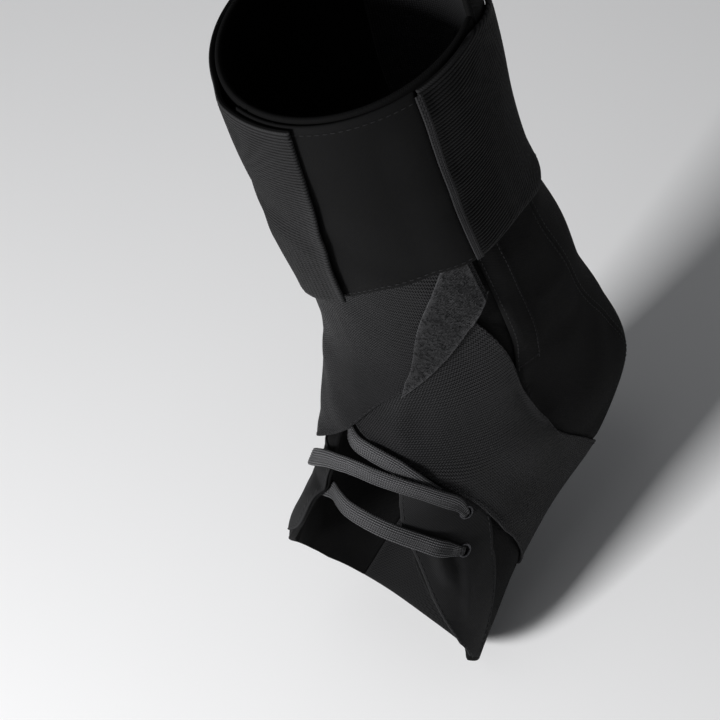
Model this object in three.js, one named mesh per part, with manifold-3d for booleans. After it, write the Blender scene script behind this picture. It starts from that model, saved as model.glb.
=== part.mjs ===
// Lace-up ankle brace, in the form that it has on a leg and foot: a fabric boot, two crossing
// webbing straps, a lace over the instep and an elastic cuff round the leg.
// Millimetres, +Z up along the leg. The origin is the centre of the ankle joint, the toes point to -Y,
// and +X is the side on which the cuff and the upper strap are fastened.
import * as THREE from "three";
import Module from "manifold-3d";

const wasm = await Module();
wasm.setup();

// Driving dimensions of the hollow that the leg and foot fill
const BOOT_TOP = 188;
const CUFF_TOP = 165;
const CUFF_FOOT = 95.5;
const LEG_DEPTH = 76;
const LEG_WIDTH = 74;
const FOOT_LENGTH = 137.5;
const FOOT_DROP = 93;
const FOOT_WIDTH = 70;

// Thicknesses of the layers, and the space between one layer and the next
const BOOT_WALL = 2.2;
const FACING_THICK = 0.9;
const POCKET_THICK = 1.3;
const WEB_THICK = 1.3;
const PILE_THICK = 0.9;
const ELASTIC_THICK = 2.2;
const PANEL_THICK = 1.8;
const SEAM_THICK = 1.2;
const LINING_THICK = 2.2;
const LACE_THICK = 1.1;
const LAYER_GAP = 0.4;
const BUTT_GAP = 0.5;

// Widths and angles of the pieces
const LACE_WIDTH = 6.2;
const LACE_END_WIDTH = 2.6;
const EYELET_BORE = 4.6;
const LINING_HEAD = 0.08;
const SEAM_WIDTH = 2.6;
const NEAR_SEAM_ANGLE = 77;
const BACK_SEAM_ANGLE = 119;
const POCKET_FRONT_ANGLE = 76.5;
const POCKET_BACK_ANGLE = 89.5;
const POCKET_FOOT = 33;
const POCKET_HEAD = 150;
const CUFF_LAP_TOP_ANGLE = 25;
const CUFF_LAP_FOOT_ANGLE = 17;
const CUFF_UNDERLAP = 22;
const CUFF_BACK_ANGLE = 150;

// How an upper layer rides over the edge of the one under it
const RIDE_MARGIN = 4.5;
const RIDE_RAMP = 14;

// Sections of the hollow down the leg. up is a share of CUFF_TOP, front and back are shares of
// LEG_DEPTH ahead of and behind the ankle centre, and half is a share of LEG_WIDTH.
const LEG_SECTIONS = [
  { name: "mid", up: 0.845, front: 0.53, back: 0.487, half: 0.497 },
  { name: "calf", up: 0.665, front: 0.512, back: 0.438, half: 0.5 },
  { name: "low", up: 0.479, front: 0.497, back: 0.452, half: 0.517 },
  { name: "narrow", up: 0.293, front: 0.52, back: 0.52, half: 0.51 },
];
const TOP_SECTION = { front: 0.507, back: 0.54, half: 0.486 };

// Sections that turn from the leg into the foot, each from a point on the instep to one on the
// heel or sole. ahead is a share of FOOT_LENGTH, up of FOOT_DROP and half of FOOT_WIDTH.
// square tells how flat the heel and sole side is, 2 being an ellipse.
const FOOT_SECTIONS = [
  { name: "ankle", ahead: 0.333, up: 0.332, backAhead: -0.3, backUp: 0.228, half: 0.52, square: 2.1 },
  { name: "bone", ahead: 0.38, up: 0.212, backAhead: -0.345, backUp: -0.075, half: 0.5, square: 2.1 },
  { name: "heel", ahead: 0.425, up: 0.115, backAhead: -0.352, backUp: -0.371, half: 0.496, square: 2.2 },
  { name: "heel_low", ahead: 0.464, up: 0.028, backAhead: -0.198, backUp: -0.616, half: 0.456, square: 2.2 },
  { name: "sole", ahead: 0.5, up: -0.05, backAhead: 0.047, backUp: -0.713, half: 0.45, square: 2.4 },
  { name: "arch", ahead: 0.551, up: -0.142, backAhead: 0.249, backUp: -0.832, half: 0.477, square: 2.6 },
  { name: "mouth", ahead: 0.646, up: -0.387, backAhead: 0.453, backUp: -1.001, half: 0.513, square: 2.9 },
];

// Each row as [front y, front z, back y, back z, half width, squareness], from the top to the mouth
const STATIONS = [
  [
    -TOP_SECTION.front * LEG_DEPTH,
    BOOT_TOP,
    TOP_SECTION.back * LEG_DEPTH,
    BOOT_TOP,
    TOP_SECTION.half * LEG_WIDTH,
    2,
  ],
  ...LEG_SECTIONS.map((s) => [
    -s.front * LEG_DEPTH,
    s.up * CUFF_TOP,
    s.back * LEG_DEPTH,
    s.up * CUFF_TOP,
    s.half * LEG_WIDTH,
    2,
  ]),
  ...FOOT_SECTIONS.map((s) => [
    -s.ahead * FOOT_LENGTH,
    s.up * FOOT_DROP,
    -s.backAhead * FOOT_LENGTH,
    s.backUp * FOOT_DROP,
    s.half * FOOT_WIDTH,
    s.square,
  ]),
];
const LAST = STATIONS.length - 1;
const LEG_LAST = LEG_SECTIONS.length;

const rad = (degrees) => (degrees * Math.PI) / 180;
const lerp = (a, b, t) => a + (b - a) * t;

// A smooth curve through rows of numbers, read at a place from 0 to the last row.
function smoothRow(rows, place) {
  const last = rows.length - 1;
  const p = Math.min(Math.max(place, 0), last - 1e-9);
  const i = Math.floor(p);
  const t = p - i;
  const beyond = (a, b) => a.map((v, k) => 2 * v - b[k]);
  const p1 = rows[i];
  const p2 = rows[i + 1];
  const p0 = i > 0 ? rows[i - 1] : beyond(p1, p2);
  const p3 = i + 2 <= last ? rows[i + 2] : beyond(p2, p1);
  return p1.map((v, k) => {
    const a = 2 * v;
    const b = (p2[k] - p0[k]) * t;
    const c = (2 * p0[k] - 5 * v + 4 * p2[k] - p3[k]) * t * t;
    const d = (3 * v - p0[k] - 3 * p2[k] + p3[k]) * t * t * t;
    return (a + b + c + d) / 2;
  });
}

// The hollow's surface. A station counts the sections from the top, and the angle in degrees goes
// round each of them: 0 in front, 90 on the +X side and 180 at the back or under the foot.
function skin(station, angle) {
  const [frontY, frontZ, backY, backZ, half, square] = smoothRow(STATIONS, station);
  const c = Math.cos(rad(angle));
  const s = Math.sin(rad(angle));
  const power = c >= 0 ? 1 : 2 / square;
  const depth = Math.sign(c) * Math.abs(c) ** power;
  const side = Math.sign(s) * Math.abs(s) ** power;
  return new THREE.Vector3(
    half * side,
    (frontY + backY) / 2 + ((frontY - backY) / 2) * depth,
    (frontZ + backZ) / 2 + ((frontZ - backZ) / 2) * depth,
  );
}

const STATION_STEP = 0.02;
const ANGLE_STEP = 1;

function skinNormal(station, angle) {
  const s0 = Math.max(station - STATION_STEP, 0);
  const s1 = Math.min(station + STATION_STEP, LAST);
  const down = skin(s1, angle).sub(skin(s0, angle));
  const round = skin(station, angle + ANGLE_STEP).sub(skin(station, angle - ANGLE_STEP));
  return down.cross(round).normalize();
}

const over = (station, angle, lift) =>
  skin(station, angle).addScaledVector(skinNormal(station, angle), lift);

// The station at which the front of the leg has the given height
function stationAtHeight(height) {
  let low = 0;
  let high = LEG_LAST + 1;
  for (let i = 0; i < 40; i++) {
    const middle = (low + high) / 2;
    if (skin(middle, 0).z > height) low = middle;
    else high = middle;
  }
  return (low + high) / 2;
}

// The station at which the side of the boot has the given height
function stationAtHeightOfSide(height) {
  let low = 0;
  let high = LAST;
  for (let i = 0; i < 40; i++) {
    const middle = (low + high) / 2;
    if (skin(middle, 90).z > height) low = middle;
    else high = middle;
  }
  return (low + high) / 2;
}

// A flat chart of the surface, in millimetres: round the leg and down its side
const CHART_PER_DEGREE = (Math.PI * (LEG_DEPTH + LEG_WIDTH)) / 2 / 360;
const chartDown = [0];
for (let i = 1; i <= LAST; i++) {
  chartDown.push(chartDown[i - 1] + skin(i, 90).distanceTo(skin(i - 1, 90)));
}
function chart(station, angle) {
  const i = Math.min(Math.floor(station), LAST - 1);
  return [angle * CHART_PER_DEGREE, lerp(chartDown[i], chartDown[i + 1], station - i)];
}

// How far a chart point is inside an outline; outside it the distance is negative.
function insideBy(outline, [x, y]) {
  let inside = false;
  let nearest = Infinity;
  outline.forEach(([x1, y1], i) => {
    const [x0, y0] = outline[(i + outline.length - 1) % outline.length];
    const dx = x1 - x0;
    const dy = y1 - y0;
    const share = ((x - x0) * dx + (y - y0) * dy) / (dx * dx + dy * dy || 1);
    const t = Math.min(Math.max(share, 0), 1);
    nearest = Math.min(nearest, Math.hypot(x - x0 - t * dx, y - y0 - t * dy));
    if (y0 > y !== y1 > y && x < x0 + (dx * (y - y0)) / dy) inside = !inside;
  });
  return inside ? nearest : -nearest;
}

// A layer tells how much it raises what lies on it at a station and angle.
function layerOf(edges, thick) {
  const outline = [...edges.map((e) => e[0]), ...edges.map((e) => e[1]).reverse()];
  const charted = outline.map(([station, angle]) => chart(station, angle));
  return (station, angle) => {
    const outside = -insideBy(charted, chart(station, angle)) - RIDE_MARGIN;
    const t = Math.min(Math.max(1 - outside / RIDE_RAMP, 0), 1);
    return (thick + LAYER_GAP) * t * t * (3 - 2 * t);
  };
}
const stack = (layers) => (station, angle) =>
  BOOT_WALL + LAYER_GAP + layers.reduce((sum, layer) => sum + layer(station, angle), 0);

// A closed wall over a grid of [inner point, outer point] pairs, rows along it and columns across
function wallGeometry(grid) {
  const rows = grid.length;
  const columns = grid[0].length;
  const points = [];
  grid.forEach((row) => row.forEach(([inner, outer]) => points.push(inner, outer)));
  const id = (i, j, face) => (i * columns + j) * 2 + face;
  const index = [];
  const quad = (a, b, c, d) => index.push(a, b, c, a, c, d);
  for (let i = 0; i + 1 < rows; i++) {
    for (let j = 0; j + 1 < columns; j++) {
      quad(id(i, j, 1), id(i + 1, j, 1), id(i + 1, j + 1, 1), id(i, j + 1, 1));
      quad(id(i, j, 0), id(i, j + 1, 0), id(i + 1, j + 1, 0), id(i + 1, j, 0));
    }
    quad(id(i, 0, 0), id(i + 1, 0, 0), id(i + 1, 0, 1), id(i, 0, 1));
    quad(id(i, columns - 1, 1), id(i + 1, columns - 1, 1), id(i + 1, columns - 1, 0), id(i, columns - 1, 0));
  }
  for (let j = 0; j + 1 < columns; j++) {
    quad(id(0, j, 0), id(0, j, 1), id(0, j + 1, 1), id(0, j + 1, 0));
    quad(id(rows - 1, j, 1), id(rows - 1, j, 0), id(rows - 1, j + 1, 0), id(rows - 1, j + 1, 1));
  }
  const geometry = new THREE.BufferGeometry();
  geometry.setAttribute(
    "position",
    new THREE.Float32BufferAttribute(points.flatMap((p) => [p.x, p.y, p.z]), 3),
  );
  geometry.setIndex(index);
  return geometry;
}

// A wall between two edges. Each row of edges is [[station, angle], [station, angle]], the second
// edge lying at the greater angle where the rows go down.
function panelGeometry(edges, { lift, thick, steps, across }) {
  const flat = edges.map(([a, b]) => [...a, ...b]);
  const grid = [];
  for (let i = 0; i <= steps; i++) {
    const [s0, a0, s1, a1] = smoothRow(flat, (i / steps) * (flat.length - 1));
    const row = [];
    for (let j = 0; j <= across; j++) {
      const station = Math.min(lerp(s0, s1, j / across), LAST);
      const angle = lerp(a0, a1, j / across);
      const low = typeof lift === "function" ? lift(station, angle) : lift;
      row.push([over(station, angle, low), over(station, angle, low + thick)]);
    }
    grid.push(row);
  }
  return wallGeometry(grid);
}

// A flat ribbon along rows of [station, angle, lift, width].
function ribbonGeometry(rows, { thick, steps }) {
  const place = (t) => {
    const [station, angle, lift] = smoothRow(rows, t * (rows.length - 1));
    return over(station, angle, lift);
  };
  const grid = [];
  for (let i = 0; i <= steps; i++) {
    const t = i / steps;
    const [station, angle, , width] = smoothRow(rows, t * (rows.length - 1));
    const middle = place(t);
    const ahead = place(Math.min(t + 0.01, 1)).sub(place(Math.max(t - 0.01, 0))).normalize();
    const normal = skinNormal(station, angle);
    const sideways = new THREE.Vector3().crossVectors(ahead, normal).normalize();
    const upward = new THREE.Vector3().crossVectors(sideways, ahead).normalize();
    const row = [-0.5, 0, 0.5].map((share) => {
      const inner = middle.clone().addScaledVector(sideways, -share * width);
      return [inner, inner.clone().addScaledVector(upward, thick)];
    });
    grid.push(row);
  }
  return wallGeometry(grid);
}

function toSolid(geometry) {
  return new wasm.Manifold(
    new wasm.Mesh({
      numProp: 3,
      vertProperties: new Float32Array(geometry.getAttribute("position").array),
      triVerts: new Uint32Array(geometry.getIndex().array),
    }),
  );
}

function toGeometry(solid) {
  const mesh = solid.getMesh();
  const geometry = new THREE.BufferGeometry();
  geometry.setAttribute("position", new THREE.BufferAttribute(mesh.vertProperties, 3));
  geometry.setIndex(new THREE.BufferAttribute(mesh.triVerts, 1));
  return geometry;
}

// Holes for the lace, each a short round bar across the wall at [station, angle]
const HOLE_SIDES = 10;
const HOLE_REACH = 9;
function pierce(geometry, places) {
  let solid = toSolid(geometry);
  for (const [station, angle] of places) {
    const profile = new THREE.Shape();
    profile.absarc(0, 0, EYELET_BORE / 2, 0, 2 * Math.PI, false);
    const bar = new THREE.ExtrudeGeometry(profile, {
      depth: 2 * HOLE_REACH,
      bevelEnabled: false,
      curveSegments: HOLE_SIDES,
    });
    bar.translate(0, 0, -HOLE_REACH);
    const turn = new THREE.Quaternion().setFromUnitVectors(
      new THREE.Vector3(0, 0, 1),
      skinNormal(station, angle),
    );
    bar.applyQuaternion(turn);
    const middle = over(station, angle, BOOT_WALL);
    bar.translate(middle.x, middle.y, middle.z);
    solid = solid.subtract(toSolid(merged(bar)));
  }
  return toGeometry(solid);
}

// The same geometry with its shared corners as one vertex each
function merged(geometry) {
  const flat = geometry.index ? geometry.toNonIndexed() : geometry;
  const source = flat.getAttribute("position");
  const seen = new Map();
  const positions = [];
  const index = [];
  for (let i = 0; i < source.count; i++) {
    const corner = [source.getX(i), source.getY(i), source.getZ(i)];
    const key = corner.map((v) => Math.round(v * 1e4)).join(",");
    if (!seen.has(key)) {
      seen.set(key, positions.length / 3);
      positions.push(...corner);
    }
    index.push(seen.get(key));
  }
  const out = new THREE.BufferGeometry();
  out.setAttribute("position", new THREE.Float32BufferAttribute(positions, 3));
  out.setIndex(index);
  return out;
}

const brace = new THREE.Group();
function addPiece(name, geometry, { color, roughness }) {
  const material = new THREE.MeshStandardMaterial({ color, roughness, metalness: 0 });
  const mesh = new THREE.Mesh(geometry, material);
  mesh.name = name;
  brace.add(mesh);
}

const NYLON = { color: 0x17171a, roughness: 0.72 };
const WEBBING = { color: 0x202024, roughness: 0.66 };
const ELASTIC = { color: 0x1d1d20, roughness: 0.8 };
const SMOOTH = { color: 0x141417, roughness: 0.85 };
const PILE = { color: 0x2a2a2e, roughness: 0.95 };
const LINING = { color: 0x2b2b2f, roughness: 0.9 };
const LACE = { color: 0x232327, roughness: 0.7 };

// Edges of the instep opening: the station where each side of the boot ends at an angle
const OPENING_HEAD = 5.6;
const FRONT_EDGE = [
  { station: OPENING_HEAD, near: 20, far: -8 },
  { station: 6.2, near: 25, far: -10 },
  { station: 7, near: 27, far: -11 },
  { station: 7.6, near: 28.5, far: -12 },
  { station: 8.7, near: 34, far: -14 },
  { station: 9.4, near: 41, far: -16 },
  { station: 10, near: 51, far: -20 },
  { station: 10.5, near: 68, far: -30 },
  { station: 10.8, near: 92, far: -48 },
  { station: 11, near: 101, far: -101 },
];

// Seam between the side of the boot and its back and sole, as an angle at each station
const BACK_SEAM = [
  { station: 0, angle: BACK_SEAM_ANGLE },
  { station: 3, angle: BACK_SEAM_ANGLE },
  { station: 4.5, angle: BACK_SEAM_ANGLE + 8 },
  { station: 6, angle: BACK_SEAM_ANGLE + 20 },
  { station: 7.4, angle: BACK_SEAM_ANGLE + 30 },
  { station: 8.5, angle: BACK_SEAM_ANGLE + 26 },
  { station: 9.5, angle: BACK_SEAM_ANGLE + 20 },
  { station: 11, angle: BACK_SEAM_ANGLE + 16 },
];

// Reads a table of rows with a station and named angles at any station.
function readAt(table, key, station) {
  let i = 0;
  while (i + 2 < table.length && table[i + 1].station < station) i++;
  const [a, b] = [table[i], table[i + 1]];
  const t = Math.min(Math.max((station - a.station) / (b.station - a.station), 0), 1);
  return lerp(a[key], b[key], t);
}
const frontAngle = (station, side) =>
  station < OPENING_HEAD
    ? (Math.sign(side) * BUTT_GAP) / 2 / CHART_PER_DEGREE
    : readAt(FRONT_EDGE, side > 0 ? "near" : "far", station);
const seamAngle = (station) => readAt(BACK_SEAM, "angle", station);

const buttAngle = BUTT_GAP / CHART_PER_DEGREE;
const eyelets = {
  near: [
    [8.45, 63],
    [9.4, 72],
  ],
  far: [
    [9.35, -62],
    [10.05, -70],
  ],
};

// Sides of the boot, from the top of the leg to the mouth. All of its pieces are cut at the same
// courses, so their seams follow one line.
const COURSE = 0.4;
function courses(first, last) {
  const middle = [];
  for (let k = Math.ceil(first / COURSE + 0.25); k * COURSE < last - COURSE / 4; k++) {
    middle.push(k * COURSE);
  }
  return [first, ...middle, last];
}
function courseEdges(first, last, from, to) {
  return courses(first, last).map((station) => [
    [station, from(station)],
    [station, to(station)],
  ]);
}
const SIDE_HEAD = stationAtHeight(CUFF_TOP + 1);
const nearEdge = (station) => seamAngle(station) - buttAngle / 2;
const backEdge = (station) => seamAngle(station) + buttAngle / 2;
function bootPiece(edges, across) {
  return panelGeometry(edges, { lift: 0, thick: BOOT_WALL, steps: edges.length - 1, across });
}
const nearSide = courseEdges(SIDE_HEAD, LAST, (s) => frontAngle(s, 1), nearEdge);
const farSide = courseEdges(
  SIDE_HEAD,
  LAST,
  (s) => -nearEdge(s),
  (s) => frontAngle(s, -1),
);
addPiece("boot_near_side", pierce(bootPiece(nearSide, 13), eyelets.near), NYLON);
addPiece("boot_far_side", pierce(bootPiece(farSide, 13), eyelets.far), NYLON);

// Back of the boot down to the heel, which stands higher than the cuff, and the sole
const HEEL_SEAM = 8;
const SOLE_GAP = 0.03;
const backPiece = courseEdges(0, HEEL_SEAM, backEdge, (s) => 360 - backEdge(s));
addPiece("boot_back", bootPiece(backPiece, 10), NYLON);
const solePiece = courseEdges(HEEL_SEAM + SOLE_GAP, LAST, backEdge, (s) => 360 - backEdge(s));
addPiece("sole", bootPiece(solePiece, 9), NYLON);

// Pieces on the boot are laid in tiers. Each piece rides over all that earlier tiers put under it.
const laid = [];
function layTier(pieces) {
  const lift = stack([...laid]);
  const layers = pieces.map(({ name, edges, thick, steps, across, look, holes }) => {
    const geometry = panelGeometry(edges, { lift, thick, steps, across });
    addPiece(name, holes ? pierce(geometry, holes) : geometry, look);
    return layerOf(edges, thick);
  });
  laid.push((station, angle) => Math.max(...layers.map((layer) => layer(station, angle))));
}
const mirrored = (rows, side) =>
  rows.map(([a, b]) => (side > 0 ? [a, b] : [[b[0], -b[1]], [a[0], -a[1]]]));

// Facings with the lace holes along the opening, and pockets for a stay up each side
const FACING_INSET = 0.3;
const FACING = [
  { station: 7.5, back: 50 },
  { station: 8, back: 63 },
  { station: 8.5, back: 75 },
  { station: 9.4, back: 91 },
  { station: 10.4, back: 107 },
  { station: 10.85, back: 112 },
];
const FACING_STEPS = 10;
function facing(side) {
  return FACING.map(({ station, back }) => {
    const front = [station, frontAngle(station, side) + side * FACING_INSET];
    const rear = [station, side * back];
    return side > 0 ? [front, rear] : [rear, front];
  });
}
const POCKET_STEPS = 14;
const pocket = Array.from({ length: POCKET_STEPS + 1 }, (_, i) => {
  const head = stationAtHeight(POCKET_HEAD);
  const foot = stationAtHeightOfSide(POCKET_FOOT);
  const station = lerp(head, foot, i / POCKET_STEPS);
  return [
    [station, POCKET_FRONT_ANGLE],
    [station, POCKET_BACK_ANGLE],
  ];
});
const facingLook = { thick: FACING_THICK, steps: FACING_STEPS, across: 7, look: NYLON };
const pocketLook = { thick: POCKET_THICK, steps: POCKET_STEPS, across: 3, look: NYLON };
layTier([
  { name: "lace_facing_near", edges: facing(1), holes: eyelets.near, ...facingLook },
  { name: "lace_facing_far", edges: facing(-1), holes: eyelets.far, ...facingLook },
  { name: "stay_pocket_near", edges: mirrored(pocket, 1), ...pocketLook },
  { name: "stay_pocket_far", edges: mirrored(pocket, -1), ...pocketLook },
]);

// Straps. The upper one rises from under the sole on the -X side, crosses the instep and ends on
// the +X side under the cuff. The lower one runs the other way and lies under it. Each row has the
// station and angle of the strap's foot edge and of its head edge, and drop is how many stations
// lower the upper strap's foot edge is there.
const STRAP_COURSE = [
  { foot: 9.9, footAngle: -152, head: 8.2, headAngle: -150 },
  { foot: 9.75, footAngle: -130, head: 7.75, headAngle: -118 },
  { foot: 9.4, footAngle: -108, head: 7.1, headAngle: -93 },
  { foot: 9, footAngle: -91, head: 6.2, headAngle: -84 },
  { foot: 8.5, footAngle: -73, head: 5.2, headAngle: -78.5, drop: 0.1 },
  { foot: 7.9, footAngle: -57, head: 4.3, headAngle: -74, drop: 0.45 },
  { foot: 7.2, footAngle: -40, head: 3.5, headAngle: -66, drop: 0.75 },
  { foot: 6.5, footAngle: -22, head: 2.95, headAngle: -50, drop: 0.8 },
  { foot: 5.9, footAngle: -2, head: 2.5, headAngle: -27, drop: 0.3 },
  { foot: 5.1, footAngle: 12, head: 2.1, headAngle: -3 },
  { foot: 4.5, footAngle: 26, head: 1.8, headAngle: 17 },
  { foot: 3.95, footAngle: 41, head: 1.6, headAngle: 37 },
  { foot: 3.5, footAngle: 58, head: 1.5, headAngle: 57 },
  { foot: 3.1, footAngle: 74, head: 1.5, headAngle: 74 },
];
const courseOf = (rows, side) =>
  rows.map((r) => {
    const foot = [r.foot + (side > 0 ? (r.drop ?? 0) : 0), side * r.footAngle];
    const head = [r.head, side * r.headAngle];
    return side > 0 ? [foot, head] : [head, foot];
  });
const STRAP_STEPS = 30;
const strapLook = { thick: WEB_THICK, steps: STRAP_STEPS, across: 7, look: WEBBING };
layTier([{ name: "strap_lower", edges: courseOf(STRAP_COURSE, -1), ...strapLook }]);
layTier([{ name: "strap_upper", edges: courseOf(STRAP_COURSE, 1), ...strapLook }]);

// Loop pile along the upper strap's end
const PILE_COURSE = [
  { foot: 4.6, footAngle: 25.5, head: 4.25, headAngle: 27 },
  { foot: 4.12, footAngle: 37.5, head: 3.42, headAngle: 37.5 },
  { foot: 3.76, footAngle: 49, head: 2.9, headAngle: 49 },
  { foot: 3.4, footAngle: 62, head: 2.5, headAngle: 60.5 },
  { foot: 3.12, footAngle: 72, head: 2.1, headAngle: 71.5 },
];
layTier([
  {
    name: "strap_pile",
    edges: courseOf(PILE_COURSE, 1),
    thick: PILE_THICK,
    steps: 14,
    across: 5,
    look: PILE,
  },
]);

// Cuff. Its hem and its rim drop by a share of the cuff's height at each angle, below its foot on
// the +X side and below its top.
const HEM = [
  { angle: -150, drop: 0.19 },
  { angle: -119, drop: 0.22 },
  { angle: -90, drop: 0.3 },
  { angle: -55, drop: 0.36 },
  { angle: -26, drop: 0.34 },
  { angle: -4, drop: 0.243 },
  { angle: 17, drop: 0.12 },
  { angle: 33, drop: 0.035 },
  { angle: 60, drop: 0 },
  { angle: 88, drop: 0.01 },
  { angle: 101, drop: 0.03 },
  { angle: 118, drop: 0.1 },
  { angle: 130, drop: 0.163 },
  { angle: 150, drop: 0.2 },
];
const RIM = [
  { angle: -150, drop: 0.15 },
  { angle: -128, drop: 0.07 },
  { angle: -112, drop: 0 },
  { angle: 112, drop: 0 },
  { angle: 128, drop: 0.07 },
  { angle: 150, drop: 0.15 },
];
function edgeStation(rows, height, angle) {
  let i = 0;
  while (i + 2 < rows.length && rows[i + 1].angle < angle) i++;
  const t = (angle - rows[i].angle) / (rows[i + 1].angle - rows[i].angle);
  const drop = lerp(rows[i].drop, rows[i + 1].drop, t);
  return stationAtHeight(height - drop * (CUFF_TOP - CUFF_FOOT));
}
const CUFF_ARC_STEP = 8.5;
function cuffEdges(first, last, lastHead = last) {
  const count = Math.ceil((last - first) / CUFF_ARC_STEP);
  return Array.from({ length: count + 1 }, (_, i) => {
    const angle = lerp(first, last, i / count);
    const headAngle = lerp(first, lastHead, i / count);
    return [
      [edgeStation(HEM, CUFF_FOOT, angle), angle],
      [edgeStation(RIM, CUFF_TOP, headAngle), headAngle],
    ];
  });
}
const cuffPiece = (name, edges, thick, look) => ({
  name,
  edges,
  thick,
  steps: edges.length - 1,
  across: 8,
  look,
});
const panelEdges = cuffEdges(CUFF_LAP_FOOT_ANGLE - CUFF_UNDERLAP, NEAR_SEAM_ANGLE - buttAngle / 2);
const nearCuffEdges = cuffEdges(NEAR_SEAM_ANGLE + buttAngle / 2, CUFF_BACK_ANGLE);
layTier([
  cuffPiece("cuff_panel", panelEdges, PANEL_THICK, SMOOTH),
  cuffPiece("cuff_near_elastic", nearCuffEdges, ELASTIC_THICK, ELASTIC),
]);
const seamHalf = SEAM_WIDTH / 2 / CHART_PER_DEGREE;
const seamEdges = cuffEdges(NEAR_SEAM_ANGLE - seamHalf, NEAR_SEAM_ANGLE + seamHalf);
const farCuffEdges = cuffEdges(-CUFF_BACK_ANGLE, CUFF_LAP_FOOT_ANGLE, CUFF_LAP_TOP_ANGLE);
layTier([
  cuffPiece("cuff_seam", seamEdges, SEAM_THICK, ELASTIC),
  cuffPiece("cuff_far_elastic", farCuffEdges, ELASTIC_THICK, ELASTIC),
]);

// Padded lining inside the back of the boot
const LINING_EDGE_ANGLE = BACK_SEAM_ANGLE + 12;
const LINING_FOOT = 3.2;
const liningEdges = courseEdges(
  LINING_HEAD,
  LINING_FOOT,
  () => LINING_EDGE_ANGLE,
  () => 360 - LINING_EDGE_ANGLE,
);
addPiece(
  "back_lining",
  panelGeometry(liningEdges, {
    lift: -LINING_THICK - LAYER_GAP,
    thick: LINING_THICK,
    steps: liningEdges.length - 1,
    across: 9,
  }),
  LINING,
);

// The lace's strands over the opening. Each row is a station, an angle, a lift above the hollow
// and the strand's width there.
const onFacing = BOOT_WALL + FACING_THICK + 2 * LAYER_GAP;
const underFlap = -LACE_THICK - LAYER_GAP;
const inHole = BOOT_WALL / 4;
const [nearHole, lowNearHole] = eyelets.near;
const [farHole] = eyelets.far;
const onStrap = onFacing + WEB_THICK + LAYER_GAP;
const overUpper = onStrap + LACE_THICK + LAYER_GAP;
const STRANDS = {
  lace_upper: [
    [6.6, -26, underFlap, LACE_WIDTH],
    [6.48, -18, underFlap, LACE_WIDTH],
    [6.4, -10, underFlap - 0.2, LACE_WIDTH],
    [6.37, -3, 0.5, LACE_WIDTH],
    [6.42, 5, 3.2, LACE_WIDTH],
    [6.48, 14, 4.9, LACE_WIDTH],
    [6.7, 24, onStrap - 0.1, LACE_WIDTH],
    [7, 31, onStrap - 0.1, LACE_WIDTH],
    [7.33, 37.5, onStrap - 0.2, LACE_WIDTH],
    [7.62, 43.5, onStrap - 0.2, LACE_WIDTH],
  ],
  lace_middle: [
    [...farHole, inHole, LACE_END_WIDTH],
    [farHole[0] - 0.04, farHole[1] + 1.6, onFacing + 0.6, 3.2],
    [farHole[0] - 0.12, farHole[1] + 9, onFacing + 1.6, LACE_WIDTH],
    [9, -44, onFacing + 1.8, LACE_WIDTH],
    [8.6, -32, onFacing + 1.5, LACE_WIDTH],
    [7.7, -13, onFacing + 1.4, LACE_WIDTH],
    [7.3, 0, onFacing + 1.3, LACE_WIDTH],
    [7.15, 9, onFacing + 1.8, LACE_WIDTH],
    [7.15, 17, overUpper - 0.3, LACE_WIDTH],
    [7.22, 26, overUpper, LACE_WIDTH],
    [7.38, 35, overUpper + 0.2, LACE_WIDTH],
    [7.6, 43, overUpper, LACE_WIDTH],
    [7.9, 51, onStrap + 0.6, LACE_WIDTH],
    [8.2, 57.5, onFacing + 1, 4.2],
    [nearHole[0] - 0.03, nearHole[1] - 1.5, onFacing + 0.3, 3],
    [...nearHole, inHole, LACE_END_WIDTH],
  ],
  lace_lower: [
    [9.5, -30, underFlap, LACE_WIDTH],
    [9.25, -19, underFlap, LACE_WIDTH],
    [9.12, -10, -0.9, LACE_WIDTH],
    [9.05, -1, 1.3, LACE_WIDTH],
    [9.1, 8, 3, LACE_WIDTH],
    [9.18, 18, onFacing + 0.2, LACE_WIDTH],
    [9.3, 32, onFacing + 0.3, LACE_WIDTH],
    [9.38, 48, onFacing + 0.2, LACE_WIDTH],
    [9.42, 60, onFacing + 0.2, LACE_WIDTH],
    [lowNearHole[0], lowNearHole[1] - 3, onFacing + 0.3, 3.4],
    [...lowNearHole, inHole, LACE_END_WIDTH],
  ],
};
for (const [name, rows] of Object.entries(STRANDS)) {
  addPiece(name, ribbonGeometry(rows, { thick: LACE_THICK, steps: 20 }), LACE);
}

export default brace;
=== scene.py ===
"""Lace-up ankle brace in its worn form: the cloth, elastic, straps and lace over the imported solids.

Lengths are in millimetres until a mesh is made, and metres after that. +Z runs up the shaft, the
mouth opens towards -Y, and +X is the near side, on which the cuff and the upper strap are fastened.
"""

from __future__ import annotations

import logging
import math
from dataclasses import dataclass, field
from enum import Enum
from typing import Any, Callable, Iterable, Sequence

import bmesh
import bpy
import numpy as np
from mathutils import Matrix, Vector

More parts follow.
